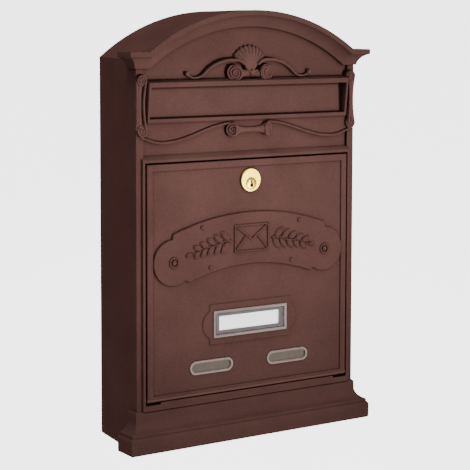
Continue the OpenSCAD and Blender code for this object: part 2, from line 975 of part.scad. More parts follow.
// Door casting: rim, sunk panel, rounded hinge edge and a stiffening rim behind
module door() {
    rim_in = 1;
    rim_t = 4;
    front() color(body_color) difference() {
        union() {
            difference() {
                relief(panel_t0, door_out)
                    panel2d(door_hw, hinge_z, door_z1);
                relief(panel_t1, door_out + cut)
                    panel2d(door_hw - rim_w, door_z0 + rim_w - 0.6, door_z1 - rim_w);
            }
            difference() {
                relief(rim_back_t, panel_t0 + cut / 2)
                    panel2d(door_hw - rim_in, hinge_z + barrel_r, door_z1 - rim_in);
                relief(rim_back_t - cut, panel_t0)
                    panel2d(door_hw - rim_in - rim_t, hinge_z - barrel_r,
                        door_z1 - rim_in - rim_t);
            }
            translate([-door_hw, -hinge_t, hinge_z])
                rotate([0, 90, 0])
                    cylinder(r = barrel_r, h = 2 * door_hw);
            translate([0, 0, door_z0 + plate_share * (door_z1 - door_z0)]) {
                relief(panel_t0, panel_t1 + plate_t)
                    arched_plate2d();
                relief(panel_t0, panel_t1 + plate_t + 0.8)
                    plate_ornament2d();
                plate_studs();
            }
            translate([0, 0, name_mid])
                relief(panel_t0, ground_t)
                    name_ground2d();
        }
        for (side = [-1, 1]) {
            translate([side * (door_hw - pin_bore / 2 + cut / 2), -hinge_t, hinge_z])
                rotate([0, 90, 0])
                    cylinder(r = pin_d / 2 + run_gap, h = pin_bore + cut, center = true);
            translate([side * view_x, 0, view_mid])
                relief(panel_t0 - cut, door_out)
                    stadium(view_w - 2 * view_lip + 2 * seat_gap,
                        view_h - 2 * view_lip + 2 * seat_gap);
        }
        translate([0, 0, name_mid])
            relief(panel_t0 - cut, door_out)
                square([name_w - 2 * name_lip, name_h - 2 * name_lip], center = true);
        translate([0, -panel_t0 + cut, lock_z])
            rotate([90, 0, 0])
                cylinder(d = lock_barrel_d + gap, h = panel_t + 2 * cut);
    }
}

// Pin that slides out of the door's rounded edge into the casting. The bore in the
// door is longer than the pin, so the pin goes back into it to take the door out.
module hinge_pin() {
    translate([opening_hw + pin_seat - pin_len, -hinge_t, hinge_z])
        rotate([0, 90, 0])
            cylinder(d = pin_d, h = pin_len);
}

module hinge_pin_left() {
    front() color(steel_color) mirror([1, 0, 0])
        hinge_pin();
}

module hinge_pin_right() {
    front() color(steel_color)
        hinge_pin();
}

// Turns a round form about the lock's axis; depths run forward along Z
module lock_axis(z) {
    front()
        translate([0, 0, z])
            rotate([90, 0, 0])
                children();
}

module lock_body() {
    face_t = 1.9;
    edge_r = 0.9;
    from = panel_t1 + seat_gap;
    lock_axis(lock_z) color(brass_color) difference() {
        union() {
            translate([0, 0, from])
                rotate_extrude() {
                    square([lock_face_d / 2 - edge_r, face_t]);
                    square([lock_face_d / 2, face_t - edge_r]);
                    translate([lock_face_d / 2 - edge_r, face_t - edge_r])
                        circle(r = edge_r);
                }
            translate([0, 0, barrel_back_t])
                cylinder(d = lock_barrel_d, h = from - barrel_back_t + cut / 2);
        }
        translate([0, -plug_low, 0])
            cylinder(r = plug_d / 2 + run_gap, h = door_out + cut + face_t);
        translate([0, -plug_low, barrel_back_t - cut])
            cylinder(r = shaft_r + run_gap, h = -barrel_back_t + 2 * cut);
    }
}

module lock_washer() {
    lock_axis(lock_z) color(steel_color)
        translate([0, 0, panel_t0 - gap - washer_t])
            difference() {
                cylinder(d = lock_barrel_d + 9, h = washer_t);
                translate([0, 0, -cut])
                    cylinder(d = lock_barrel_d + gap, h = washer_t + 2 * cut);
            }
}

module lock_nut() {
    lock_axis(lock_z) color(steel_color)
        translate([0, 0, panel_t0 - gap - washer_t - nut_t])
            difference() {
                rotate([0, 0, 30])
                    cylinder(d = nut_af / cos(30), h = nut_t, $fn = 6);
                translate([0, 0, -cut])
                    cylinder(d = lock_barrel_d + 2 * seat_gap, h = nut_t + 2 * cut);
            }
}

// Plug with its keyway, its thinner shaft and the square that drives the cam
module lock_plug() {
    lock_axis(plug_z) color(brass_color) difference() {
        union() {
            translate([0, 0, run_gap])
                cylinder(d = plug_d, h = plug_t1 - run_gap);
            translate([0, 0, barrel_back_t - gap / 2])
                cylinder(r = shaft_r, h = cut - barrel_back_t);
            translate([-square_w / 2, -square_w / 2, barrel_back_t - gap - cam_t])
                cube([square_w, square_w, cam_t + cut]);
        }
        translate([0, 0, plug_t1 - 2.4])
            linear_extrude(3) {
                translate([0, -key_h / 2 + 1.5])
                    circle(r = 1.5);
                translate([-0.7, -key_h / 2 + 1])
                    square([1.4, key_h - 1]);
            }
        translate([0, 0, barrel_back_t - gap - cam_t - cut])
            cylinder(d = cam_screw_d, h = 6);
    }
}

module lock_cam() {
    lock_axis(plug_z) color(steel_color)
        translate([0, 0, barrel_back_t - gap - cam_t])
            linear_extrude(cam_t)
                difference() {
                    union() {
                        circle(d = cam_w);
                        translate([-cam_len + cam_w / 4, -cam_w / 2])
                            square([cam_len - cam_w / 4, cam_w]);
                        translate([-cam_len, -cam_w / 4])
                            square([cam_len, cam_w / 2]);
                        for (side = [-1, 1])
                            translate([-cam_len + cam_w / 4, side * cam_w / 4])
                                circle(r = cam_w / 4);
                    }
                    square(square_w + 2 * seat_gap, center = true);
                }
}

module cam_screw() {
    lock_axis(plug_z) color(steel_color)
        translate([0, 0, barrel_back_t - gap - cam_t])
            rotate([90, 0, 0])
                screw(cam_screw_d - 2 * seat_gap, 4.6, 10, 2);
}

// Clear window over the name card, let into its ground from the front
module name_window() {
    lip_t = 1;
    front() color(clear_color, 0.4)
        translate([0, 0, name_mid]) {
            relief(ground_t + seat_gap, ground_t + lip_t)
                square([name_w, name_h], center = true);
            relief(card_t1 + seat_gap, ground_t + 2 * seat_gap)
                square([name_w - 2 * name_lip - 2 * seat_gap,
                    name_h - 2 * name_lip - 2 * seat_gap], center = true);
        }
}

module name_card() {
    front() color("white")
        translate([0, 0, name_mid])
            relief(card_t1 - 0.3, card_t1)
                square([card_w, card_h], center = true);
}

// Plastic tray behind the panel that holds the card against its window
module name_holder() {
    tray_t = 1.4;
    front() color("gainsboro")
        translate([0, 0, name_mid]) {
            relief(panel_t0 - seat_gap - tray_t, panel_t0 - seat_gap)
                square([name_w, name_h + 2], center = true);
            relief(panel_t0 - 2 * seat_gap, card_t1 - 0.3 - seat_gap)
                square([name_w - 2 * name_lip - 1, name_h - 2 * name_lip - 1],
                    center = true);
        }
}

// Clear insert of a view window: a raised rim around a sunk pane
module view_window(side) {
    rim_high = 1.2;
    pane_t = 1.6;
    front() color(clear_color, 0.5)
        translate([side * view_x, 0, view_mid])
            difference() {
                union() {
                    relief(panel_t1 + seat_gap, panel_t1 + rim_high)
                        stadium(view_w, view_h);
                    relief(panel_t0 - 0.6, panel_t1 + 2 * seat_gap)
                        stadium(view_w - 2 * view_lip, view_h - 2 * view_lip);
                }
                relief(panel_t0 - 0.6 + pane_t, panel_t1 + rim_high + cut)
                    stadium(view_w - 2 * view_lip - 2, view_h - 2 * view_lip - 2);
            }
}

module view_window_left() {
    view_window(-1);
}

module view_window_right() {
    view_window(1);
}

housing();
front_frame();
frame_screws();
letter_flap();
flap_rod();
rod_keeper_left();
rod_keeper_right();
keeper_screws();
door();
hinge_pin_left();
hinge_pin_right();
lock_body();
lock_washer();
lock_nut();
lock_plug();
lock_cam();
cam_screw();
name_window();
name_card();
name_holder();
view_window_left();
view_window_right();
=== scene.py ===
# %% [markdown]
# # A cast wall letterbox, step by step
# The frame holds the measured solids, in metres: +X is to the right, +Y goes into
# the wall and +Z is up. This script dresses them: it gives each one its finish and
# replaces the castings by finer ones with soft edges and carved scrolls.

# %% Open the frame
import json
import math

import bmesh
import bpy
import numpy as np
from mathutils import Matrix, Vector
from mathutils.geometry import tessellate_polygon


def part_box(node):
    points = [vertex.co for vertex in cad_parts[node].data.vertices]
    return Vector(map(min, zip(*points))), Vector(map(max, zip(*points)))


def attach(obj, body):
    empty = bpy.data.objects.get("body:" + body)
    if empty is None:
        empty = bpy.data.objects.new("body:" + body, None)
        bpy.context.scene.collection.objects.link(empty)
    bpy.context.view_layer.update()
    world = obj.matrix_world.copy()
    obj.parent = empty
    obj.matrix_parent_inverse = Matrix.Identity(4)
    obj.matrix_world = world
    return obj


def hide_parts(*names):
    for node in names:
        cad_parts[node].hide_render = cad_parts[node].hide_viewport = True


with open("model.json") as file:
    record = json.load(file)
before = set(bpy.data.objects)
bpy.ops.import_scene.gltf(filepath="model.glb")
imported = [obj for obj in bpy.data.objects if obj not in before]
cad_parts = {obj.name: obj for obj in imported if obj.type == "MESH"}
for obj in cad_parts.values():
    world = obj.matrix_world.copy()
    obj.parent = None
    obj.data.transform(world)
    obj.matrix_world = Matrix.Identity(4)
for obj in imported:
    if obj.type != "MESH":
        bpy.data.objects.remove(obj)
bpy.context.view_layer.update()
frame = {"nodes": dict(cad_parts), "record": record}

# %% [markdown]
# ## Sizes
# Shapes are easiest to think of on the letterbox itself: x from its middle, h up
# from the foot of its plinth, and t forward from the face of its side pilasters.
# The sizes are those of the solids, in millimetres.

# %% Sizes of the castings
FOOT, FACE = -220.0, -80.0                  # z of the plinth's foot, y of the pilasters' face
HALF_W, BODY_H, SKIRT = 140.0, 458.0, 15.0  # half width, height and depth of the casting
BASE_H, CORNICE_H, CORNICE_OUT = 43.0, 17.4, 12.9
ARCH_C, ARCH_RISE = 130.1, 42.6             # half the arch's chord, and its rise
ARCH_R = (ARCH_C ** 2 + ARCH_RISE ** 2) / (2 * ARCH_RISE)
ARCH_H = BODY_H - ARCH_R                    # height of the arch's centre
EAR_H = BODY_H - ARCH_RISE                  # top of the cornice's flat ends
CORNICE_FOOT = EAR_H - CORNICE_H
FIELD_T, FIELD_HW = -3.0, 131.0             # level and half width of the sunk field
SLOT_HW, SLOT_H0, SLOT_H1 = 125.0, 346.0, 378.7
DOOR_HW, DOOR_H0, DOOR_H1, DOOR_T = 128.6, 50.9, 299.3, 3.0
HINGE_T, HINGE_H, ROLL_R = -0.4, 54.3, 3.4  # the door's axis, and its rounded lower edge
PANEL_T, PANEL_BACK = 1.7, -0.5             # front and back of the door's panel
OPENING_HW, OPENING_H0, OPENING_H1 = 130.4, 50.4, 301.1
WALL = 2.4                                  # wall of a casting
print("arch radius", round(ARCH_R, 2), "about the height", round(ARCH_H, 2))

# %% [markdown]
# ## From the letterbox to the frame
# Every shape below is written as (x, t, h) in millimetres. One function moves all
# of it into the frame, so no shape has to know where the letterbox hangs.

# %% Into the frame
def to_row(points):
    """From (x, t, h) in millimetres to the frame's metres."""
    p = np.asarray(points, float).reshape(-1, 3)
    return np.stack([p[:, 0], FACE - p[:, 1], FOOT + p[:, 2]], 1) / 1000


print("top of the arch in the frame:", to_row([(0, 0, BODY_H)])[0].round(3))

# %% [markdown]
# ## Shader maths as plain Python
# A procedural finish is a graph of nodes. Wrapping a socket in a small class lets
# an ordinary expression build that graph, which reads better than a list of links.

# %% Shader helper
class Value:
    """A socket of a material's node tree, with arithmetic."""

    def __init__(self, tree, socket):
        self.tree, self.socket = tree, socket

    def node(self, kind, settings=None, **inputs):
        """Any node: its type, its settings, then the values or links of its sockets."""
        made = self.tree.nodes.new(kind)
        for key, setting in (settings or {}).items():
            setattr(made, key, setting)
        for key, given in inputs.items():
            name = int(key[1:]) if key[0] == "_" else key.replace("_", " ")
            if isinstance(given, Value):
                self.tree.links.new(given.socket, made.inputs[name])
            else:
                made.inputs[name].default_value = given
        return made

    def out(self, kind, output=0, settings=None, **inputs):
        return Value(self.tree, self.node(kind, settings, **inputs).outputs[output])

    def math(self, operation, a, b):
        return self.out("ShaderNodeMath", 0, {"operation": operation}, _0=a, _1=b)

    def __add__(self, other): return self.math("ADD", self, other)
    def __radd__(self, other): return self.math("ADD", other, self)
    def __sub__(self, other): return self.math("SUBTRACT", self, other)
    def __rsub__(self, other): return self.math("SUBTRACT", other, self)
    def __mul__(self, other): return self.math("MULTIPLY", self, other)
    def __rmul__(self, other): return self.math("MULTIPLY", other, self)

    def clamp(self):
        return self.math("MINIMUM", self.math("MAXIMUM", self, 0.0), 1.0)

    def mix(self, low, high):
        """A colour between two, by this value."""
        return self.out("ShaderNodeMix", 2, {"data_type": "RGBA"}, _0=self, _6=low, _7=high)


print("a socket can:", [name for name in vars(Value) if not name.startswith("__")])

# %% [markdown]
# ## Starting a finish
# Each finish starts from the Principled shader and the object's own coordinates,
# so that a grain is as fine on a screw as on the door. A plain number goes onto
# the shader's own socket, and only what varies over the surface becomes a link.

# %% Material helpers
def start_material(name):
    made = bpy.data.materials.new(name)
    made.use_nodes = True
    tree = made.node_tree
    shader = tree.nodes["Principled BSDF"]
    place = Value(tree, tree.nodes.new("ShaderNodeTexCoord").outputs["Object"])
    return made, shader, place


def plug(shader, socket, value):
    if isinstance(value, Value):
        value.tree.links.new(value.socket, shader.inputs[socket])
    else:
        shader.inputs[socket].default_value = value


def noise(place, scale, detail=2.0, rough=0.5):
    return place.out("ShaderNodeTexNoise", 0, None, Vector=place, Scale=scale,
                     Detail=detail, Roughness=rough)


def bump(shader, height, strength, reach):
    made = height.node("ShaderNodeBump", None, Height=height, Strength=strength,
                       Distance=reach)
    height.tree.links.new(made.outputs[0], shader.inputs["Normal"])


print("helpers: start_material, plug, noise, bump")

# %% [markdown]
# ## The brown paint
# The castings are sprayed with a fine textured powder coat. Seen close it is a
# skin of grains, well under a millimetre across, over a slow mottling. Noise at
# three scales makes grains, pores and mottling, and ambient occlusion paints shade
# into the colour: crevices and cracks are painted darker, so no drawing is needed.
# The coat is so matt that it mirrors nothing: with a mirror share of its own it
# would turn grey wherever the eye meets it at a slant. So that share is off.

# %% Brown paint
GRAIN, PORES, MOTTLE = 1500, 620, 22   # how many grains, pores and clouds a metre holds
# NOOK and CRACK are how far the painted crevice shade reaches
NOOK, CRACK = 0.006, 0.0018            # reach of a wide and of a narrow crevice, metres
# SHADOW_FADE: the painted shadow under the bar fades out within 1.4 mm
SHADOW_FADE = 700.0                           # a sheltered strip ends within 1.4 mm


def brown_paint(name, light, dark, grain=1.0, crease=1.5, shade_above=None):
    """Paint from dark to light with painted shade: crease darkens its cracks, and above shade_above
    it is painted dark as a shadow.
    """
    made, shader, place = start_material(name)
    fine = noise(place, GRAIN, 3, 0.6)
    pores = noise(place, PORES, 2, 0.5)
    slow = noise(place, MOTTLE, 3, 0.5)
    wide = place.out("ShaderNodeAmbientOcclusion", 1, {"samples": 8}, Distance=NOOK)
    close = place.out("ShaderNodeAmbientOcclusion", 1, {"samples": 8}, Distance=CRACK)
    tone = (slow * 0.38 + fine * 0.5 + (pores - 0.5) * 0.3 + 0.06).clamp()
    # painted shade: ambient occlusion darkens the colour in crevices (wide) and cracks (close)
    painted_shade = (1.2 * wide - 0.2).clamp() * (crease * close - (crease - 1)).clamp() * 0.9 + 0.1
    # painted shadow: above the height shade_above the colour fades to dark, as under the slot's top
    # bar
    if shade_above:
        up = place.out("ShaderNodeSeparateXYZ", 2, None, Vector=place)
        painted_shade = painted_shade * ((shade_above - up) * SHADOW_FADE).clamp()
    plug(shader, "Base Color", (tone * painted_shade).mix((*dark, 1), (*light, 1)))
    plug(shader, "Roughness", 0.44 + 0.14 * slow + 0.08 * fine)
    bump(shader, fine * 0.6 + pores, 0.5 * grain, 0.00018)
    plug(shader, "Specular IOR Level", 0.0)
    return made


print("a grain is", round(1000 / GRAIN, 2), "mm across, and a pore", round(1000 / PORES, 2))

# %% [markdown]
# ## Five coats of one colour
# The same paint is mixed a little differently from part to part, with painted
# light and shade. The flap is smoother, and a painted shadow darkens it where the
# bar above hangs over it. The carvings get a softer painted shade in their
# crevices. The door's lower edge is painted lighter, to lift the shade on its curve
# under the door. The housing is painted a little lighter at its dark end, for the
# sheen that the matt coat does not mirror. Five mixes are simpler than one with masks.

# %% Coats
BROWN, DEEP = (0.087, 0.043, 0.037), (0.022, 0.0088, 0.0074)
PAINT = brown_paint("brown_textured_paint", BROWN, DEEP, 1.0, 1.9)
# painted shadow on the flap below the slot's top bar, and stronger painted shade in its cracks
FLAP_SHADOW_PAINT = brown_paint("flap_paint", (0.092, 0.046, 0.040), (0.024, 0.0100, 0.0085), 0.8, 2.8,
                         (SLOT_H1 - 1.6 + FOOT) / 1000)
# painted light: a lighter mix with little painted crevice shade, lifting the shade on the curve
# under the door
GAP_LIGHT_PAINT = brown_paint("lower_edge_painted_light", (0.095, 0.047, 0.040), (0.070, 0.033, 0.028),
                        1.0, 1.0)
# softer painted shade: the crevices of the carvings are painted less dark
CARVED_PAINT = brown_paint("carved_paint", BROWN, (0.042, 0.0190, 0.0163), 1.0, 1.2)
# painted light: a little lighter at its dark end, standing in for the sheen that the matt coat does
# not mirror on the housing's sides and roof
HOUSING_PAINT = brown_paint("housing_paint", (0.088, 0.040, 0.035), (0.027, 0.0105, 0.009))
COATS = (PAINT, FLAP_SHADOW_PAINT, GAP_LIGHT_PAINT, CARVED_PAINT, HOUSING_PAINT)
print("paints:", [coat.name for coat in COATS])

# %% [markdown]
# ## Brass, steel, clear plastic and card
# The lock is pale polished brass with fine turning marks, the hidden fasteners
# are zinc plated, and the windows are clear mouldings that look milky at their
# thick rims. Each finish gets its own small wear: stretched noise for brushing,
# cloudy noise for handling marks.

# %% Metal and plastic
def metal(name, light, dark, rough, brushed):
    """Metal with fine lines; brushed says how many lines a metre holds along x, y, z."""
    made, shader, place = start_material(name)
    far = place.out("ShaderNodeVectorMath", 0, {"operation": "MULTIPLY"}, _0=place, _1=brushed)
    lines = noise(far, 1.0, 4, 0.6)
    cloud = noise(place, 90, 2, 0.5)
    plug(shader, "Base Color", (0.5 * lines + 0.5 * cloud).mix((*dark, 1), (*light, 1)))
    plug(shader, "Metallic", 1.0)
    plug(shader, "Roughness", rough + 0.14 * cloud)
    bump(shader, lines, 0.12, 0.00005)
    return made


def plastic(name, light, dark, rough, alpha, edge=0.0, gloss=0.5):
    """Cloudy plastic or card; alpha is how much of it is seen, and edge its unevenness."""
    made, shader, place = start_material(name)
    cloud = noise(place, 160, 3, 0.55)
    plug(shader, "Base Color", cloud.mix((*dark, 1), (*light, 1)))
    plug(shader, "Roughness", rough + 0.08 * cloud)
    if alpha < 1:
        plug(shader, "Alpha", (alpha + edge * cloud).clamp())
        made.surface_render_method = "BLENDED"
    plug(shader, "Specular IOR Level", gloss)
    bump(shader, cloud, 0.08, 0.0001)
    return made


print("helpers: metal, plastic")

# %% [markdown]
# ## A shelf of finishes
# The flange's brass is bright in its middle; its rounded edge and the ring round
# the plug get a darker, duller brass of their own, painted shade for their dark
# outline. The windows are three plastics: the rim, which takes a pink tint from
# the paint below it, the grey inner bevel and the almost clear pane.

# %% Finishes
BRASS = metal("lock_brass", (0.45, 0.315, 0.036), (0.35, 0.24, 0.022), 0.26, (300, 300, 2600))
KEY_BRASS = metal("plug_brass", (0.40, 0.28, 0.045), (0.30, 0.21, 0.028), 0.3, (2600, 300, 300))
SHADED_BRASS = metal("shaded_edge_brass", (0.30, 0.22, 0.07), (0.16, 0.11, 0.03), 0.42, (900, 900, 900))
PIN_STEEL = metal("pin_steel", (0.10, 0.08, 0.075), (0.06, 0.045, 0.04), 0.4, (700, 300, 300))
SHADE = plastic("keyway_shade", (0.012, 0.010, 0.008), (0.005, 0.004, 0.003), 0.7, 1)
ZINC = metal("zinc_steel", (0.66, 0.66, 0.68), (0.46, 0.46, 0.49), 0.3, (700, 700, 200))
RIM = plastic("clear_rim", (0.122, 0.078, 0.070), (0.084, 0.050, 0.045), 0.3, 0.80, 0.1, 0.15)
VIEW_RIM = plastic("view_rim", (0.200, 0.140, 0.124), (0.125, 0.084, 0.074), 0.35, 0.85,
                   0.1, 0.15)
PANE = plastic("clear_pane", (0.70, 0.69, 0.66), (0.60, 0.59, 0.56), 0.12, 0.03, 0.03, 0.1)
VIEW_PANE = plastic("view_pane", (0.110, 0.093, 0.074), (0.080, 0.067, 0.053), 0.5, 0.85,
                    0.1, 0.02)
BEVEL = plastic("clear_bevel", (0.112, 0.100, 0.102), (0.072, 0.062, 0.064), 0.35, 0.9, 0.1, 0.1)
CARD = plastic("name_card", (0.97, 0.97, 0.96), (0.92, 0.92, 0.91), 0.6, 1)
TRAY = plastic("tray_plastic", (0.060, 0.045, 0.042), (0.044, 0.033, 0.030), 0.4, 1)
FINISH = {"body_paint": PAINT, "housing_paint": HOUSING_PAINT, "flap_paint": FLAP_SHADOW_PAINT,
          "brass": BRASS, "zinc_steel": ZINC, "clear_plastic": RIM, "card": CARD,
          "tray_plastic": TRAY}
print("finishes:", sorted(FINISH))

# %% [markdown]
# ## Grids of faces
# Nearly every face of a casting is a grid of points: a section swept along a
# path, or a ring of edges that steps inward. So one helper writes the faces of any
# grid, a second joins several meshes to one, and a third rounds a drawn line.

# %% Grid helpers
def grid_faces(rows, cols, loop=False, start=0):
    """Faces of a grid of rows x cols points; loop joins the last column to the first."""
    span = cols if loop else cols - 1
    return [(start + r * cols + c, start + r * cols + (c + 1) % cols,
             start + (r + 1) * cols + (c + 1) % cols, start + (r + 1) * cols + c)
            for r in range(rows - 1) for c in range(span)]


def join_parts(parts):
    """One list of points and one of faces from several."""
    points, faces = [], []
    for some_points, some_faces in parts:
        base = len(points)
        points += [tuple(p) for p in some_points]
        faces += [tuple(base + i for i in f) for f in some_faces]
    return points, faces


def soften(corners, radius, steps=4):
    """Rounds the inner corners of an open 2-D line."""
    line = [np.array(corners[0], float)]
    for a, b, c in zip(corners, corners[1:], corners[2:]):
        a, b, c = (np.array(p, float) for p in (a, b, c))
        u, v = a - b, c - b
        cut = min(radius, 0.45 * np.hypot(*u), 0.45 * np.hypot(*v))
        p, q = b + cut * u / np.hypot(*u), b + cut * v / np.hypot(*v)
        for s in np.linspace(0, 1, steps):
            line.append((1 - s) ** 2 * p + 2 * s * (1 - s) * b + s ** 2 * q)
    line.append(np.array(corners[-1], float))
    return line


print("a grid of 3 x 4 points has", len(grid_faces(3, 4)), "faces")

# %% [markdown]
# ## From points to a piece
# A piece is a mesh with smooth faces whose sharp edges stay sharp. Doubled points
# are merged first. Blender can turn the normals of a closed form outward by
# itself, but an open sheet has no outside, so those are turned toward the viewer.

# %% Pieces
def turn_sheets_forward(work):
    """Open sheets show their outer side to the front; closed forms already do."""
    left = set(work.faces)
    while left:
        sheet, edge = [], [left.pop()]
        while edge:
            face = edge.pop()
            sheet.append(face)
            near = {f for e in face.edges for f in e.link_faces} & left
            left -= near
            edge += near
        open_sheet = any(e.is_boundary for f in sheet for e in f.edges)
        if open_sheet and sum(f.normal.y * f.calc_area() for f in sheet) > 0:
            bmesh.ops.reverse_faces(work, faces=sheet)


def add_piece(name, points, faces, body, slot, stands_for=(), finish=None, sharp=35):
    """A mesh in (x, t, h) millimetres, smooth but for its sharp edges, on its body."""
    mesh = bpy.data.meshes.new(name)
    mesh.from_pydata([tuple(p) for p in to_row(points)], [], faces)
    work = bmesh.new()
    work.from_mesh(mesh)
    bmesh.ops.remove_doubles(work, verts=work.verts, dist=2e-6)
    bmesh.ops.dissolve_degenerate(work, edges=work.edges, dist=1e-6)
    bmesh.ops.recalc_face_normals(work, faces=work.faces)
    turn_sheets_forward(work)
    work.to_mesh(mesh)
    work.free()
    mesh.shade_smooth()
    mesh.set_sharp_from_angle(angle=math.radians(sharp))
    made = bpy.data.objects.new(name, mesh)
    bpy.context.scene.collection.objects.link(made)
    made.data.materials.append(finish or FINISH[slot])
    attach(made, body)
    if stands_for:
        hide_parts(*stands_for)
    return made


print("finishes to choose from:", len(FINISH))

# %% [markdown]
# ## The wall of a casting
# A real casting is a few millimetres thick. Solidify gives a sheet that wall, behind
# its outer face. It blends the normals round the rim of the sheet, which would show
# as a dark haze on a flat face, so the rim's edges are marked sharp before.

# %% Wall
def thicken(piece, wall):
    """Gives a sheet the wall of the casting, behind its outer face, with sharp ends."""
    used = [key for face in piece.data.polygons for key in face.edge_keys]
    count = {}
    for key in used:
        count[key] = count.get(key, 0) + 1
    for line in piece.data.edges:
        if count[line.key] == 1:
            line.use_edge_sharp = True
    solid = piece.modifiers.new("wall", "SOLIDIFY")
    solid.thickness, solid.offset, solid.use_even_offset = wall / 1000, -1.0, True
    return piece


print("wall of the castings:", WALL, "mm")

# %% [markdown]
# ## The cornice
# On the real casting one hollow moulding rises over an arch and turns flat over
# the pilasters. A modeller could bend a bar along a curve, but the bends would
# pinch its section. Here each line of the section finds the very point where the
# arch meets the flat end, so the mitre is clean, as a pattern maker cuts it.
# The section comes first: a foot, a deep cove and a square band with soft edges.

# %% Cornice section
def arc(cx, cy, r, a0, a1, n):
    return [(cx + r * math.cos(a), cy + r * math.sin(a)) for a in np.linspace(a0, a1, n)]


def cornice_section():
    """Projection and height of the cornice's section."""
    r, low = 15.0, -2.5
    cx = 1.87 + math.sqrt(r * r - low * low)
    heights = np.linspace(0.35, 11.75, 14)
    cove = [(cx - math.sqrt(r * r - (h - low) ** 2), h) for h in heights]
    foot = [(-3.6, 0.0), (1.55, 0.0), (1.82, 0.1)]
    band = soften([(12.6, 11.9), (CORNICE_OUT, 12.05), (CORNICE_OUT, CORNICE_H),
                   (11.0, CORNICE_H), (-SKIRT, CORNICE_H)], 0.7)
    return foot + cove + [tuple(p) for p in band]


print("cornice section:", len(cornice_section()), "points")

# %% [markdown]
# ## Sweeping the cornice
# The stations are the two ends at the back, the two corners, and 97 places on the
# arch. A line that lies higher in the section has a larger radius and ends at
# its own angle, which is what makes the mitre.

# %% Cornice sweep
INSIDE = -9.0  # the ends of the top keep this width, or a slit would open beside them


def cornice_station(kind, side, part, out, high):
    """Where one line of the section, out and high, meets one station along the path."""
    wide = HALF_W + max(out, INSIDE)
    if kind == "back":
        return side * wide, -SKIRT, CORNICE_FOOT + high
    if kind == "corner":
        return side * wide, out, CORNICE_FOOT + high
    reach = ARCH_R - CORNICE_H + high
    up = CORNICE_FOOT + high - ARCH_H
    turn = part * math.asin(math.sqrt(reach ** 2 - up ** 2) / reach)
    return reach * math.sin(turn), out, ARCH_H + reach * math.cos(turn)


stations = [("back", -1, 0), ("corner", -1, 0)]
stations += [("arch", 0, part) for part in np.linspace(-1, 1, 97)]
stations += [("corner", 1, 0), ("back", 1, 0)]
section = cornice_section()
points = [cornice_station(*where, *p) for p in section for where in stations]
cornice = add_piece("cornice", points, grid_faces(len(section), len(stations)),
                    "box", "body_paint", ["front_frame"], sharp=30)
thicken(cornice, WALL)
print("cornice:", len(cornice.data.polygons), "faces")

# %% [markdown]
# ## The base moulding
# A plinth, a quarter round, a hollow and a thin fillet run across the front and
# return along both sides. It is the same idea as the cornice, with plain corners.

# %% Base moulding
def base_section():
    """Projection and height of the base's section, from its foot up."""
    plinth = [(-SKIRT, 0.0)] + arc(11.7, 2.5, 2.5, -math.pi / 2, 0, 7)
    quarter = arc(10.2, 15.0, 4.0, 0, 1.08, 8)
    cove = arc(15.35, 34.4, 13.3, math.radians(255.6), math.radians(180), 14)
    edge = soften([quarter[-1], (12.05, 18.9), (12.05, 21.3), cove[1]], 0.35, 3)
    fillet = soften([cove[-1], (2.05, 40.9), (0.0, BASE_H), (-1.0, BASE_H)], 0.5, 3)
    return plinth + quarter + [tuple(p) for p in edge[1:]] + cove[2:] + \
        [tuple(p) for p in fillet[1:]]


section = base_section()
points = []
for out, high in section:
    wide = HALF_W + out
    points += [(-wide, -SKIRT, high), (-wide, out, high), (wide, out, high), (wide, -SKIRT, high)]
base = add_piece("base_moulding", points, grid_faces(len(section), 4), "box", "body_paint",
                 sharp=30)
thicken(base, WALL)
print("base moulding:", len(section), "lines in its section")

# %% [markdown]
# ## Pilasters and the casting's sides
# The casting is a shallow tray: its sides go back to the housing, and a narrow
# raised strip runs up each side of the front.

# %% Pilasters
def pilaster(side):
    plan = soften([(140.0, -15.0), (140.0, 0.0), (131.0, 0.0), (131.0, -3.6)], 0.9)
    points = [(side * x, t, h) for h in (42.6, 170.0, 300.0, 399.6) for x, t in plan]
    return points, grid_faces(4, len(plan))


points, faces = join_parts([pilaster(-1), pilaster(1)])
thicken(add_piece("pilasters", points, faces, "box", "body_paint"), WALL)
print("pilasters:", len(faces), "faces")

# %% [markdown]
# ## Flat faces with holes
# A flat face is drawn as outlines: the first is its edge and the others are its
# holes. They are filled with triangles, which cuts real openings without booleans.

# %% Outlines
def flat_face(loops, t):
    """Points and faces of a flat face with holes; loops are lists of (x, h)."""
    flat = [p for loop in loops for p in loop]
    sets = [[Vector((x, h, 0)) for x, h in loop] for loop in loops]
    return [(x, t, h) for x, h in flat], [tuple(f) for f in tessellate_polygon(sets)]


def circle(cx, ch, r, n=48):
    return [(cx + r * math.cos(a), ch + r * math.sin(a))
            for a in np.linspace(0, 2 * math.pi, n, endpoint=False)]


def stadium(cx, ch, wide, high, n=16):
    r = high / 2
    ends = []
    for side, a0 in ((1, -90), (-1, 90)):
        ends += [(cx + side * (wide / 2 - r) + r * math.cos(a), ch + r * math.sin(a))
                 for a in np.radians(np.linspace(a0, a0 + 180, n))]
    return ends


def rectangle(cx, ch, wide, high):
    return [(cx - wide / 2, ch - high / 2), (cx + wide / 2, ch - high / 2),
            (cx + wide / 2, ch + high / 2), (cx - wide / 2, ch + high / 2)]


print("corners of a slot's outline:", len(stadium(0, 0, 50, 10)))

# %% [markdown]
# ## Sunk field under the arch
# The face under the arch is flat and lies three millimetres deep. Its edge hides
# behind the cornice, so one outline filled with triangles is enough. Two narrow
# strips carry the field on beside the letter slot.

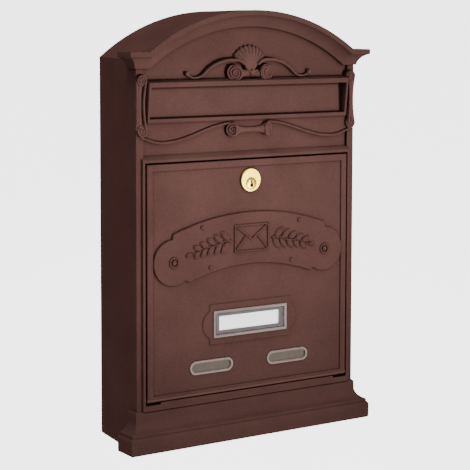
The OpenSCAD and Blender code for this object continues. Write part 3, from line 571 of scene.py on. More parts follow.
# %% Arched field
reach = ARCH_R - CORNICE_H + 1.2
wide = FIELD_HW + 0.3
spring = math.asin((wide - 5) / reach)
outline = [(-wide, 380.2), (wide, 380.2), (wide, 399.4)]
outline += [(reach * math.sin(a), ARCH_H + reach * math.cos(a))
            for a in np.linspace(spring, -spring, 60)]
outline += [(-wide, 399.4)]
strips = [flat_face([[(s * 126, 330), (s * wide, 330), (s * wide, 380.2), (s * 126, 380.2)]],
                    FIELD_T) for s in (-1, 1)]
points, faces = join_parts([flat_face([outline], FIELD_T)] + strips)
thicken(add_piece("arched_field", points, faces, "box", "body_paint"), WALL)
print("arched field:", len(faces), "triangles")

# %% [markdown]
# ## Swag
# Below the slot a ribbon hangs in a long curve, and the face beneath it is sunk.
# Each upright line of the grid carries the same small section: the upper face, a
# groove, the round ribbon, and the step down to the field.

# %% Swag band
SWAG_TOP, SWAG_LOW = 339.3, 321.0                # the ribbon's highest and lowest height
SWAG_FLAT, SWAG_X, SWAG_END = 20.0, 108.0, 62.0  # x of its fall and low point, span of its rise
ROLL_H, APRON_H = 330.5, 300.4                   # the lower roll, and the foot of the field


def swag_height(x):
    """Height of the ribbon: two half waves of a cosine, one down and one up."""
    x = abs(x)
    if x < SWAG_X:
        turn = math.pi * (max(x, SWAG_FLAT) - SWAG_FLAT) / (SWAG_X - SWAG_FLAT)
    else:
        turn = math.pi * (1 + (x - SWAG_X) / SWAG_END)
    return (SWAG_TOP + SWAG_LOW) / 2 + (SWAG_TOP - SWAG_LOW) / 2 * math.cos(turn)


def swag_grid():
    """The band below the slot, with the ribbon's small section on every upright line."""
    xs = np.linspace(-FIELD_HW - 0.2, FIELD_HW + 0.2, 221)
    ridge = [(5.4, 0.0), (4.2, 0.0), (3.2, 0.0), (2.5, -0.05), (2.0, -0.7), (1.65, -0.75)]
    ridge += [(1.5 * math.cos(a), 1.5 * math.sin(a) + 0.1) for a in np.linspace(0.15, 2.6, 10)]
    ridge += [(-1.75, -0.6), (-2.0, -2.3), (-2.5, -2.85), (-3.0, FIELD_T),
              (-4.0, FIELD_T), (-5.0, FIELD_T)]
    points = []
    for row in range(len(ridge) + 2):
        for x in xs:
            full = min(1.0, max(0.0, (abs(x) - 14) / 9))
            full = full * full * (3 - 2 * full)
            mid = ROLL_H + (swag_height(x) - ROLL_H) * full
            if row == 0:
                points.append((x, 0.0, 345.0))
            elif row == len(ridge) + 1:
                points.append((x, FIELD_T, APRON_H))
            else:
                up, out = ridge[row - 1]
                points.append((x, out * full if up > -1.6 else out, min(mid + up, 344.6)))
    return points, grid_faces(len(ridge) + 2, len(xs))


points, faces = swag_grid()
thicken(add_piece("swag", points, faces, "box", "body_paint", sharp=50), WALL)
print("swag:", len(faces), "faces")

# %% [markdown]
# ## Letter slot frame
# Four bars stand round the slot, higher at the top than at the bottom, so that
# rain runs off. Rings of four corners step from the inside of the opening over
# the sloping face and down to the field.

# %% Slot frame
def frame_rings(rings):
    """Rings are (half width, low, high, t at the low side, t at the high side)."""
    points = []
    for hw, h0, h1, t0, t1 in rings:
        points += [(-hw, t0, h0), (hw, t0, h0), (hw, t1, h1), (-hw, t1, h1)]
    return points, grid_faces(len(rings), 4, loop=True)


def slope(h):
    """How far the frame's face stands out at a height: 2.7 mm below, 7.4 mm above."""
    return 2.7 + (h - 342.2) * 4.7 / 41.5


def slot_ring(grow, drop=0.0, low=None, high=None):
    """A ring on the sloping face, grown from the opening and sunk by drop."""
    h0, h1 = SLOT_H0 - (grow if low is None else low), SLOT_H1 + (grow if high is None else high)
    return SLOT_HW + grow, h0, h1, slope(h0) - drop, slope(h1) - drop


rings = [(SLOT_HW, SLOT_H0, SLOT_H1, -3.05, -3.05), slot_ring(0, 0.45), slot_ring(0.13, 0.13),
         slot_ring(0.45), slot_ring(2.35, 0, 3.35, 4.55), slot_ring(2.67, 0.13, 3.67, 4.87),
         slot_ring(2.85, 0.45, 3.85, 5.05),
         (SLOT_HW + 5.8, SLOT_H0 - 6.8, SLOT_H1 + 8.0, FIELD_T - 0.1, FIELD_T - 0.1)]
points, faces = frame_rings(rings)
add_piece("slot_frame", points, faces, "box", "body_paint")
print("slot frame:", len(faces), "faces")

# %% [markdown]
# ## Door surround
# A slim raised edge frames the door opening on three sides. Its section is drawn
# once, and four corners carry it up, across and down. Beside the pilasters there
# is less room than above the door, so the outer slope is steeper at the sides.

# %% Door surround
edge = soften([(0.0, -6.0), (0.0, 2.5), (2.8, 2.5), (8.0, -3.4)], 0.5)
points = []
for d, t in edge:
    wide = OPENING_HW + min(d, 2.8 + 0.4 * (d - 2.8))
    points += [(-wide, t, 42.4), (-wide, t, OPENING_H1 + d), (wide, t, OPENING_H1 + d),
               (wide, t, 42.4)]
add_piece("door_surround", points, grid_faces(len(edge), 4), "box", "body_paint")
print("door surround:", len(edge), "lines in its section")

# %% [markdown]
# ## Ledge
# The ledge below the door has a notch at either end, which leaves room for the
# ends of the hinge. It is a straight block, so its outline is pushed forward, and
# a bevel breaks the edges as the paint does on the real one.

# %% Ledge
def prism_faces(n):
    """Two ends of n corners, and the sides between them."""
    return [tuple(range(n)), tuple(range(n, 2 * n))] + [
        (i, (i + 1) % n, n + (i + 1) % n, n + i) for i in range(n)]


def prism(outline, t0, t1, bevel=0.0, name=None, body="box", slot="body_paint", finish=None):
    """A straight block with the given front outline, and softened edges."""
    points = [(x, t, h) for t in (t0, t1) for x, h in outline]
    made = add_piece(name, points, prism_faces(len(outline)), body, slot, finish=finish)
    if bevel:
        cut = made.modifiers.new("soft_edges", "BEVEL")
        cut.width, cut.segments, cut.limit_method = bevel / 1000, 3, "ANGLE"
        cut.angle_limit = math.radians(40)
    return made


ledge = [(-131.2, 42.2), (131.2, 42.2), (131.2, 48.2), (112.4, 48.2), (112.4, OPENING_H0),
         (-112.4, OPENING_H0), (-112.4, 48.2), (-131.2, 48.2)]
prism(ledge, -6.0, 2.51, 0.35, "ledge")
print("ledge:", len(ledge), "corners")

# %% [markdown]
# ## Lugs behind the door
# Four lugs reach inward from the casting's sides. A screw through each holds the
# casting to a post of the housing, and a small pad on it stops the closed door.

# %% Screw lugs
LUG_T, LUG_BACK = -6.6, -9.6  # front and back of a lug


def block(x0, x1, t0, t1, h0, h1):
    """A plain box, as points and faces."""
    points = [(x, t, h) for t in (t0, t1) for x, h in ((x0, h0), (x1, h0), (x1, h1), (x0, h1))]
    return points, prism_faces(4)


def lug(side, high):
    """A plate with a real screw hole, its root and its pad."""
    flat = rectangle(side * 124.9, high, 19.0, 12.0)
    hole = circle(side * 120.0, high, 2.15, 28)
    parts = [flat_face([flat, hole], t) for t in (LUG_T, LUG_BACK)]
    for line in (flat, hole):
        walls = [(x, t, h) for t in (LUG_T, LUG_BACK) for x, h in line]
        parts.append((walls, grid_faces(2, len(line), loop=True)))
    a, b = sorted((side * 130.4, side * 134.4))
    parts.append(block(a, b, LUG_BACK, -5.6, high - 6, high + 6))
    a, b = sorted((side * 125.2, side * 129.2))
    parts.append(block(a, b, -6.8, -3.35, high - 6, high + 6))
    return join_parts(parts)


points, faces = join_parts([lug(side, high) for side in (-1, 1) for high in (76.9, 283.3)])
lugs = add_piece("screw_lugs", points, faces, "box", "body_paint")
print("lugs:", len(lugs.data.polygons), "faces")

# %% [markdown]
# ## Carving with tubes
# The scrolls, rolls and shell are modelled as a carver models clay: rolls of
# round section are laid side by side, pressed together by a voxel remesh, and
# smoothed a little. That gives the soft grooves of a casting, which separate
# pieces that only touch would not. Two kinds of clay are enough: a roll that
# follows a path, and a form turned about an axis.

# %% Rolls of clay
def tube(path, radii, sides=16, deep=1.0):
    """A closed roll along points (x, t, h); deep stretches it toward the viewer."""
    path = np.asarray(path, float)
    radii = np.broadcast_to(np.asarray(radii, float), (len(path),)).copy()
    along = np.gradient(path, axis=0)
    along /= np.linalg.norm(along, axis=1)[:, None]
    front = np.array([0.0, 1.0, 0.0])
    rings = []
    last = len(path) - 1
    steps = [(0, -1.0, 0.05), (0, -0.7, 0.7)] + [(i, 0.0, 1.0) for i in range(len(path))]
    steps += [(last, 0.7, 0.7), (last, 1.0, 0.05)]
    for i, ahead, size in steps:
        a, r = along[i], radii[i]
        ref = front if abs(a @ front) < 0.9 else np.array([0.0, 0.0, 1.0])
        u = np.cross(a, ref)
        u /= np.linalg.norm(u)
        v = np.cross(u, a)
        centre = path[i] + a * ahead * r
        for k in range(sides):
            w = 2 * math.pi * k / sides
            rings.append(centre + size * r * (math.cos(w) * u + deep * math.sin(w) * v))
    n = len(steps)
    faces = grid_faces(n, sides, loop=True)
    faces += [tuple(range(sides))[::-1], tuple(range((n - 1) * sides, n * sides))]
    return rings, faces


def turned(profile, origin, axis, sides=56):
    """A closed turned form: profile is (radius, distance along the axis)."""
    axis = np.array(axis, float) / np.linalg.norm(axis)
    ref = np.array([0.0, 0.0, 1.0]) if abs(axis[2]) < 0.9 else np.array([1.0, 0.0, 0.0])
    u = np.cross(axis, ref)
    u /= np.linalg.norm(u)
    v = np.cross(axis, u)
    points = [np.array(origin) + axis * z + r * (math.cos(w) * u + math.sin(w) * v)
              for r, z in profile for w in np.linspace(0, 2 * math.pi, sides, endpoint=False)]
    n = len(profile)
    faces = grid_faces(n, sides, loop=True)
    faces += [tuple(range(sides))[::-1], tuple(range((n - 1) * sides, n * sides))]
    return points, faces


print("a short roll has", len(tube([(0, 0, 0), (9, 0, 0)], 2.0)[1]), "faces")

# %% [markdown]
# ## Spirals and the press
# A volute is the end of a rolled sheet, so its edge is a roll of clay that winds
# outward from an eye. The press is a voxel remesh. Its voxels are a third to half
# a millimetre, just fine enough for the ribs, and the smoothing rubs out its steps.

# %% Spiral and press
def spiral(centre, axis, up, r0, r1, turns, thick, spin, start=0.0):
    """Path and radii of a rolled edge on the end of a scroll."""
    axis = np.array(axis, float) / np.linalg.norm(axis)
    up = np.array(up, float) - np.dot(up, axis) * axis
    up /= np.linalg.norm(up)
    right = np.cross(up, axis)
    n = int(26 * turns)
    path, radii = [], []
    for k in range(n + 1):
        s = k / n
        w = start + spin * 2 * math.pi * turns * (1 - s)
        r = r0 + (r1 - r0) * s
        path.append(np.array(centre) + r * (math.cos(w) * up + math.sin(w) * right)
                    + axis * (0.9 * (1 - s)))
        radii.append(thick * (0.75 + 0.25 * s))
    return tube(path, radii, 10)


def carve(name, parts, voxel, body="box", smooth=3):
    """Presses parts into one soft casting."""
    points, faces = join_parts(parts)
    raw = add_piece(name + "_raw", points, faces, body, "body_paint", finish=CARVED_PAINT)
    press = raw.modifiers.new("press", "REMESH")
    press.mode, press.voxel_size = "VOXEL", voxel / 1000
    press.use_smooth_shade = True
    rub = raw.modifiers.new("rub", "SMOOTH")
    rub.factor, rub.iterations = 0.5, smooth
    graph = bpy.context.evaluated_depsgraph_get()
    mesh = bpy.data.meshes.new_from_object(raw.evaluated_get(graph))
    mesh.name = name
    old = raw.data
    raw.modifiers.clear()
    raw.data = mesh
    raw.name = name
    bpy.data.meshes.remove(old)
    mesh.shade_smooth()
    return raw


print("a spiral of two turns has", len(spiral((0, 0, 0), (0, 1, 0), (0, 0, 1), 1, 5, 2, 1, 1)[1]),
      "faces")

# %% [markdown]
# ## Shell of the crest
# The ribs of the shell fan out from its hinge and lean back against the field. Each
# is a roll that grows thicker outward, and a thin plate behind them closes the
# grooves, so that the shell's rim stays whole.

# %% Shell
def fan_shell(hinge, reach, spread, ribs):
    """Ribs over a plate, with a rolled lip at the hinge."""
    parts = []
    lean = math.radians(10)
    for k in range(ribs):
        a = math.radians(spread) * (k / (ribs - 1) - 0.5)
        path, radii = [], []
        for s in np.linspace(0.06, 1, 14):
            d = reach * s * (1 - 0.05 * (a / 0.8) ** 2)
            bow = 2.6 * math.sin(math.pi * (s * 0.95)) * 0.9
            path.append((hinge[0] + d * math.sin(a), hinge[1] + bow - d * math.sin(lean),
                         hinge[2] + d * math.cos(a)))
            radii.append(0.9 + 1.75 * s ** 1.15)
        parts.append(tube(path, radii, 12, 0.9))
    fan = [(hinge[0], -4.0, hinge[2] + 2)] + [
        (hinge[0] + 1.02 * reach * math.sin(a), -4.0, hinge[2] + 1.02 * reach * math.cos(a))
        for a in np.linspace(-math.radians(spread) / 2, math.radians(spread) / 2, 13)]
    front = [(x, t + 3.6 - 0.9 * (i > 0), h) for i, (x, t, h) in enumerate(fan)]
    parts.append((fan + front, prism_faces(len(fan))))
    parts.append(tube([(-6.2, 1.2, hinge[2] + 4.5), (0, 2.4, hinge[2] - 2.6),
                       (6.2, 1.2, hinge[2] + 4.5)], [1.5, 2.3, 1.5], 12))
    return parts


shell = fan_shell((0.0, 1.4, 394.0), 25.0, 94, 9)
print("shell:", len(shell), "pieces of clay")

# %% [markdown]
# ## Crest above the slot
# The shell stands between two rolled ends, and a ribbon flows from each rolled end
# down to a small curl. The ribbon is two arcs that meet with one direction, as a
# draughtsman would draw it with compasses.

# %% Crest
def arc_path(cx, ch, r, a0, a1, t0, t1, n):
    return [(cx + r * math.cos(a), t0 + (t1 - t0) * s, ch + r * math.sin(a))
            for s, a in zip(np.linspace(0, 1, n), np.radians(np.linspace(a0, a1, n)))]


def scroll_end(centre, axis, side, r, turns, start, thick=1.1, deep=7.0, eye=1.5):
    """A disc whose edge rolls up in a raised spiral; side is 1 or -1."""
    parts = [turned([(0.1, -deep), (r * 0.95, -deep + 0.1), (r, -1.2), (r * 0.97, -0.3),
                     (r * 0.5, 0.1), (0.1, 0.5)], centre, axis, 56)]
    parts.append(spiral(centre, axis, (0, 0, 1), eye, r - 0.2, turns, thick, side, start))
    return parts


def crest_side(side):
    """A ribbon with its curl, and the rolled end that it comes from."""
    cx, ch, r, curl = 24.5, 405.5 - 46, 46.0, 16.0
    knee = math.radians(45)
    kx, kh = cx + (r + curl) * math.cos(knee), ch + (r + curl) * math.sin(knee)
    sweep = [(9.0, 2.4, 401.2), (13.0, 2.3, 404.0), (18.0, 1.8, 405.6)]
    sweep += arc_path(cx, ch, r, 94, 45, 1.1, -0.9, 20)
    sweep += arc_path(kx, kh, curl, 225, 306, -0.9, -1.3, 14)[1:]
    sweep = [(side * x, t, h) for x, t, h in sweep]
    parts = [tube(sweep, np.linspace(1.9, 1.15, len(sweep)), 12, 1.8)]
    eye = sweep[-1]
    parts.append(turned([(0.1, -2), (1.9, -1.8), (2.4, -0.6), (2.4, 2.2), (1.7, 2.9), (0.1, 3.1)],
                        (eye[0] + side * 0.2, -1.6, eye[2] + 1.2), (side * 0.2, 1, 0), 24))
    parts += scroll_end((side * 20.2, 2.7, 391.6), (side * 0.32, 1, 0.05), -side, 9.2, 2.5,
                        -side * 0.5)
    return parts


waist = [(4.9, -16.5), (4.4, -13), (2.8, -7), (2.0, 0), (2.8, 7), (4.4, 13), (4.9, 16.5)]
parts = shell + crest_side(-1) + crest_side(1)
parts.append(turned(waist, (0, -0.4, 390.6), (1, 0, 0), 40))
parts.append(tube([(-9, 1.2, 394.6), (-3, 1.9, 392.4), (3, 1.9, 392.4), (9, 1.2, 394.6)],
                  [0.9, 1.0, 1.0, 0.9], 10))
crest = carve("crest", parts, 0.42)
print("crest:", len(crest.data.polygons), "faces")

# %% [markdown]
# ## Lower roll
# It is a sheet rolled up and tied at its waist, with a spiral at either end. A
# turned form gives the waist, and the spirals look outward to both sides.

# %% Lower roll
def bobbin(centre, axis, half, end_r, waist_r, power=2.0):
    """A turned roll with a waist, closed at both ends."""
    us = np.linspace(-1, 1, 25)
    line = [(0.1, -half)] + [(waist_r + (end_r - waist_r) * abs(u) ** power, half * u) for u in us]
    return turned(line + [(0.1, half)], centre, axis, 48)


parts = [bobbin((0, 0.2, 331.4), (1, 0, 0), 21.5, 6.9, 2.7, 2.6)]
for side in (-1, 1):
    parts += scroll_end((side * 23.4, 2.6, 331.4), (side * 0.62, 1, 0), -side, 7.5, 2.2, side * 0.6,
                        0.95, 5.0, 1.2)
lower = carve("lower_roll", parts, 0.36)
print("lower roll:", len(lower.data.polygons), "faces")

# %% [markdown]
# ## Side rolls
# Beside the slot a sheet is rolled from both edges, so two bands with a waist run
# along a core. Each ends in volutes, and the lower one lets go of a ribbon's tail,
# which runs on into the swag.

# %% Side rolls
ROLLS_H = 360  # height of their waists
for label, side in (("side_roll_left", -1), ("side_roll_right", 1)):
    along = np.linspace(-1, 1, 21)
    core = [(side * 135.6, -1.4, ROLLS_H + 25 * s) for s in along]
    parts = [tube(core, 3.0 + 1.7 * along ** 2, 24)]
    for x, waist_in, t, sink, r in ((130.4, 1.9, 4.0, 1.3, 1.4), (139.7, -1.3, 0.9, 1.6, 1.25)):
        band = [(side * (x + waist_in * (1 - s * s)), t - sink * (1 - s * s), ROLLS_H + 24.5 * s)
                for s in along]
        parts.append(tube(band, r, 14, 1.2))
    for high, up in ((386.2, 1), (333.8, -1)):
        parts += scroll_end((side * 133.8, 3.1, high), (side * 0.04, 1, 0), up * side, 6.0, 2.0,
                            math.pi if up > 0 else 0.0, 0.85, 5.4, 1.1)
        parts.append(turned([(0.1, -3.5), (5.6, -3.3), (6.0, -0.6), (5.3, 0.6), (0.1, 0.9)],
                            (side * 135.2, 1.0, high - up * 1.0), (side * 0.35, 1, 0), 40))
    tail = [(130.6, 0.0, 326.3), (133.4, 0.25, 327.5), (136.4, 0.3, 330.0), (139.2, 0.1, 333.4)]
    parts.append(tube([(side * x, t, h) for x, t, h in tail], [1.5, 1.5, 1.4, 1.2], 14))
    made = carve(label, parts, 0.4)
    print(label, len(made.data.polygons), "faces")

# %% [markdown]
# ## Door
# The door is a thin casting: a raised rim, a sunk panel, a rounded lower edge that
# turns in the frame, and a stiffening rim behind. Flat faces with holes are cut
# from their outlines, so the openings for lock and windows are real. A raised
# plate is the same outline again and again, each a little smaller and higher.

# %% Door outlines
def grow(outline, d):
    """Moves a closed outline outward by d, corner by corner."""
    pts = [np.array(p, float) for p in outline]
    area = sum(a[0] * b[1] - b[0] * a[1] for a, b in zip(pts, pts[1:] + pts[:1]))
    turn = 1 if area > 0 else -1
    made = []
    for a, b, c in zip(pts[-1:] + pts[:-1], pts, pts[1:] + pts[:1]):
        u, v = (b - a) / np.hypot(*(b - a)), (c - b) / np.hypot(*(c - b))
        n1, n2 = np.array([u[1], -u[0]]) * turn, np.array([v[1], -v[0]]) * turn
        made.append(tuple(b + d * (n1 + n2) / max(0.4, 1 + n1 @ n2)))
    return made


def raised(outline, steps, face_holes=(), close=True):
    """A raised plate: steps are (growth of the outline, t), from its foot to its face."""
    loops = [grow(outline, d) for d, t in steps]
    points = [(x, t, h) for loop, (d, t) in zip(loops, steps) for x, h in loop]
    faces = grid_faces(len(steps), len(outline), loop=True)
    parts = [(points, faces)]
    if close:
        parts.append(flat_face([loops[-1], *face_holes], steps[-1][1]))
    return parts


DOOR_TALL = DOOR_H1 - DOOR_H0
LOCK_H = DOOR_H1 - 22.1
NAME_H, VIEW_X, VIEW_H = DOOR_H0 + 0.3 * DOOR_TALL, 49.3, DOOR_H0 + 0.121 * DOOR_TALL
lock_hole = circle(0, LOCK_H, 11.15)
name_hole = rectangle(0, NAME_H, 88.0, 21.9)
view_holes = [stadium(s * VIEW_X, VIEW_H, 50.2, 10.5) for s in (-1, 1)]
print("door:", round(2 * DOOR_HW, 1), "x", round(DOOR_TALL, 1), "mm, lock at", round(LOCK_H, 1))

# %% [markdown]
# ## Door's rim, panel and name ground
# The rim is a ring of four corners that steps over its rounded edge down to the
# panel. The ground of the name window is a low plate with a bow at each end. The
# last two rings of a plate lie level, so that its flat face shades flat.

# %% Door front
def name_ground():
    """Outline of the ground round the name window, with a bow at each end."""
    a = math.asin(14.0 / 15.7)
    right = [(44.7 + 15.7 * math.cos(w), NAME_H + 15.7 * math.sin(w))
             for w in np.linspace(-a + 0.04, a - 0.04, 24)]
    left = [(-x, h) for x, h in right[::-1]]
    return [(-51.6, NAME_H - 21.25), (51.6, NAME_H - 21.25), (51.6, NAME_H - 14.0)] + right + \
        [(51.6, NAME_H + 14.0), (51.6, NAME_H + 21.25), (-51.6, NAME_H + 21.25),
         (-51.6, NAME_H + 14.0)] + left + [(-51.6, NAME_H - 14.0)]


rim_low, rim_high = DOOR_H0 + 6.4, DOOR_H1 - 7.0
panel = rectangle(0, (rim_low + rim_high) / 2, 2 * 121.0, rim_high - rim_low - 1.2)
ground = name_ground()
front = flat_face([panel, lock_hole, grow(ground, 0.8)] + view_holes, PANEL_T)
edge = soften([(0.0, PANEL_BACK), (0.0, DOOR_T), (4.0, DOOR_T)], 0.8)[1:-1]
outer = [(DOOR_HW, 54.1, DOOR_H1, PANEL_BACK)]
outer += [(DOOR_HW - d, 54.0, DOOR_H1 - d, t) for d, t in edge]
edge = soften([(-3.0, DOOR_T), (0.0, DOOR_T), (0.35, PANEL_T), (0.6, PANEL_T)], 0.45)[1:]
inner = [(121.6 - d, rim_low + d, rim_high - d, t) for d, t in edge]
rim = frame_rings([(hw, h0, h1, t, t) for hw, h0, h1, t in outer + inner])
GROUND_T = PANEL_T + 1.1
steps = [(0.8, PANEL_T), (0.5, PANEL_T + 0.3), (-0.1, PANEL_T + 0.95), (-0.45, GROUND_T),
         (-0.9, GROUND_T)]
name_plate = raised(ground, steps, [name_hole])
reveals = []
for hole, top in ((lock_hole, PANEL_T), (name_hole, GROUND_T), *((v, PANEL_T) for v in view_holes)):
    points = [(x, t, h) for t in (top, PANEL_BACK) for x, h in hole]
    reveals.append((points, grid_faces(2, len(hole), loop=True)))
back = flat_face([rectangle(0, (DOOR_H1 + 54.1) / 2, 2 * DOOR_HW, DOOR_H1 - 54.1), lock_hole,
                  name_hole] + view_holes, PANEL_BACK)
points, faces = join_parts([front, rim, back] + name_plate + reveals)
add_piece("door_front", points, faces, "door", "body_paint", ["door"])
print("door front:", len(faces), "faces, with", len(reveals), "openings")

# %% [markdown]
# ## Back and lower edge of the door
# Behind the panel a rim stiffens the casting on three sides. The lower edge is
# round about the hinge, so it can turn in the frame and never opens a gap.

# %% Door back
stiffener = [(-127.6, 57.7), (-123.6, 57.7), (-123.6, 294.3), (123.6, 294.3), (123.6, 57.7),
             (127.6, 57.7), (127.6, 298.3), (-127.6, 298.3)]
prism(stiffener, -3.0, PANEL_BACK + 0.05, 0.4, "door_back_rim", "door")
roll_line = [(HINGE_T + ROLL_R * math.cos(a), HINGE_H + ROLL_R * math.sin(a))
             for a in np.linspace(0.25, -math.pi - 0.35, 22)]
points = [(x, t, h) for t, h in roll_line for x in (-DOOR_HW, DOOR_HW)]
faces = grid_faces(len(roll_line), 2)
faces += [tuple(range(0, 2 * len(roll_line), 2)), tuple(range(1, 2 * len(roll_line), 2))]
# its paint is lighter: painted light that lifts the shade on the curve under the door
add_piece("door_lower_edge", points, faces, "door", "body_paint", finish=GAP_LIGHT_PAINT)
print("door's lower edge:", len(roll_line), "lines round the hinge")

# %% [markdown]
# ## Arched plate
# A low plate with a round lobe at each end lies across the door. It carries a
# plain envelope between two leafy sprays, with a ring in each lobe and four studs.

# %% Arched plate
PLATE_R, PLATE_H, RING_X = 252.5, DOOR_H0 + 0.662 * DOOR_TALL, 97.2
PLATE_C = PLATE_H - PLATE_R
LOBE_R = 24.0
TURN = math.degrees(math.asin(RING_X / PLATE_R))


def on_plate(degrees, r):
    """A point at an angle from the upright and a radius about the plate's centre."""
    a = math.radians(degrees)
    return r * math.sin(a), PLATE_C + r * math.cos(a)


def plate_outline():
    """Two long arcs about one centre, and a round lobe at each end."""
    end = TURN - 2.3
    half = 27.5
    cx, ch = on_plate(TURN, PLATE_R)
    lobe = []
    foot = PLATE_R * math.cos(math.radians(2.3))
    drop = math.sqrt(LOBE_R ** 2 - (PLATE_R * math.sin(math.radians(2.3))) ** 2)
    for r in (foot + drop, foot - drop):
        x, h = on_plate(end, r)
        lobe.append(math.atan2(h - ch, x - cx))
    line = [on_plate(a, PLATE_R + half) for a in np.linspace(-end, end, 70)]
    lobe = [lobe[0] - 0.14, lobe[1] + 0.14]
    line += [(cx + LOBE_R * math.cos(a), ch + LOBE_R * math.sin(a))
             for a in np.linspace(lobe[0], lobe[1], 44)]
    line += [on_plate(a, PLATE_R - half) for a in np.linspace(end, -end, 60)]
    line += [(-cx + LOBE_R * math.cos(a), ch + LOBE_R * math.sin(a))
             for a in np.linspace(math.pi - lobe[1], math.pi - lobe[0], 44)]
    return line


PLATE_T = PANEL_T + 2.6
steps = [(0.7, PANEL_T - 0.02), (0.55, PANEL_T + 0.4), (0.25, PANEL_T + 1.9),
         (-0.15, PANEL_T + 2.4), (-0.7, PLATE_T), (-1.2, PLATE_T)]
points, faces = join_parts(raised(plate_outline(), steps))
add_piece("arched_plate", points, faces, "door", "body_paint", sharp=60)
print("arched plate:", len(faces), "faces")

# %% [markdown]
# ## Leafy sprays
# Each spray is a stem with pairs of leaves that shrink outward. A leaf is a small
# grid that is domed across and creased along its middle, and its outline comes
# from one sine, so no leaf has to be drawn, and the sprays follow the plate's arc.

# %% Sprays
def leaf(degrees, r, lean, length, wide, high=2.1):
    """A pointed leaf with a crease along its middle."""
    root = np.array(on_plate(degrees, r))
    a = math.radians(90 - degrees + lean)
    along, across = np.array([math.cos(a), math.sin(a)]), np.array([-math.sin(a), math.cos(a)])
    rows, cols = 15, 11
    points = []
    for i in range(rows):
        s = i / (rows - 1)
        half = wide / 2 * math.sin(math.pi * s ** 0.85) ** 0.8 if 0 < i < rows - 1 else 0.02
        for j in range(cols):
            v = 2 * j / (cols - 1) - 1
            rise = (1 - v * v) ** 0.6 * min(1, half / (0.35 * wide))
            crease = 0.5 * math.exp(-(v / 0.16) ** 2)
            p = root + along * (s * length) + across * (v * half)
            points.append((p[0], PLATE_T - 0.15 + high * rise - crease * rise, p[1]))
    return points, grid_faces(rows, cols)


def spray(side):
    """A stem with pairs of leaves that follow the plate's curve outward."""
    stem = [on_plate(side * a, PLATE_R + 1.2 * math.sin(a)) for a in np.linspace(6.0, 17.4, 26)]
    stem = [(x, PLATE_T + 0.3, h) for x, h in stem]
    parts = [tube(stem, np.linspace(1.15, 0.7, len(stem)), 10)]
    for k, a in enumerate((6.5, 8.6, 10.7, 12.8, 14.9)):
        for lean in (-1, 1):
            parts.append(leaf(side * (a + 0.25 * lean), PLATE_R, -side * 90 + lean * (47 - 2.5 * k),
                              17.0 - 1.3 * k, 7.6 - 0.3 * k))
    parts.append(leaf(side * 17.2, PLATE_R, -side * 90, 10.0, 5.0))
    return parts


parts = spray(-1) + spray(1)
print("sprays:", len(parts), "stems and leaves")

# %% [markdown]
# ## Envelope, rings and studs
# The envelope is drawn with raised lines that have a round back, as a pattern
# maker would lay wire on a plate. The rings and studs are turned, and all of it
# is one piece, because it is one casting.

# %% Envelope, rings and studs
def bar(x0, h0, x1, h1, wide, high):
    """A raised line with a rounded back between two points."""
    return tube([(x0 + (x1 - x0) * s, PLATE_T, h0 + (h1 - h0) * s) for s in np.linspace(0, 1, 6)],
                wide / 2, 12, high / (wide / 2))


def envelope():
    """Four sides, the flap's two folds and the two folds below it."""
    w, h, c = 21.5, 14.0, PLATE_H
    lines = [(-w, c - h, w, c - h), (w, c - h, w, c + h), (w, c + h, -w, c + h),
             (-w, c + h, -w, c - h), (-w, c + h, 0, c - 1.6), (0, c - 1.6, w, c + h),
             (-w, c - h, -6.9, c + 3.1), (6.9, c + 3.1, w, c - h)]
    return [bar(*line, 2.2, 1.35) for line in lines]


parts += envelope()
for side in (-1, 1):
    cx, ch = on_plate(side * TURN, PLATE_R)
    ring = [(3.8, -0.4), (3.9, 0.6), (4.3, 1.2), (5.0, 1.35), (5.6, 1.15), (6.0, 0.5), (6.1, -0.4)]
    points, faces = turned(ring, (cx, PLATE_T, ch), (0, 1, 0), 48)
    parts.append((points, faces[:-2]))
    parts.append(turned([(2.8, -0.4), (2.7, 0.7), (2.2, 1.35), (1.2, 1.65), (0.02, 1.7)],
                        (cx, PLATE_T, ch), (0, 1, 0), 36))
    for edge in (-1, 1):
        sx, sh = on_plate(side * 13.15, PLATE_R + edge * 22.2)
        parts.append(turned([(2.2, -0.3), (2.1, 0.6), (1.5, 1.2), (0.02, 1.5)],
                            (sx, PLATE_T, sh), (0, 1, 0), 24))
points, faces = join_parts(parts)
motif = add_piece("plate_motif", points, faces, "door", "body_paint", sharp=60)
print("plate motif:", len(motif.data.polygons), "faces")

# %% [markdown]
# ## Name window
# The name window is a clear plate with a bevelled rim that looks pink and milky
# where it lies on the paint. The solid is one block of plastic. Here it is split
# into rim, bevel and pane, because each of them looks different.

# %% Name window
window = rectangle(0, NAME_H, 95.4, 29.3)
steps = [(0.0, GROUND_T + 0.05), (0.0, GROUND_T + 0.55), (-0.5, GROUND_T + 0.98),
         (-3.1, GROUND_T + 0.98), (-3.5, GROUND_T + 0.75), (-3.9, GROUND_T - 0.5),
         (-4.1, GROUND_T - 1.6)]
points, faces = join_parts(raised(window, steps, close=False))
add_piece("name_window_rim", points, faces, "door", "clear_plastic", ["name_window"])
bevel = [(43.65, 10.6, GROUND_T + 0.35), (43.4, 10.35, GROUND_T + 0.2), (39.2, 8.1, 0.95),
         (38.6, 7.6, 0.82)]
points, faces = frame_rings([(w, NAME_H - h, NAME_H + h, t, t) for w, h, t in bevel])
add_piece("name_window_bevel", points, faces, "door", "clear_plastic", finish=BEVEL)
pane = grow(window, -4.1)
prism(pane, 0.2, 0.8, 0.0, "name_window_pane", "door", "clear_plastic", PANE)
print("name window:", len(steps), "rings in its rim")

# %% [markdown]
# ## View windows
# Two small windows show whether there is mail. Each has a rounded pale rim that is
# the same outline at eight levels, and a dull pane a little below it.

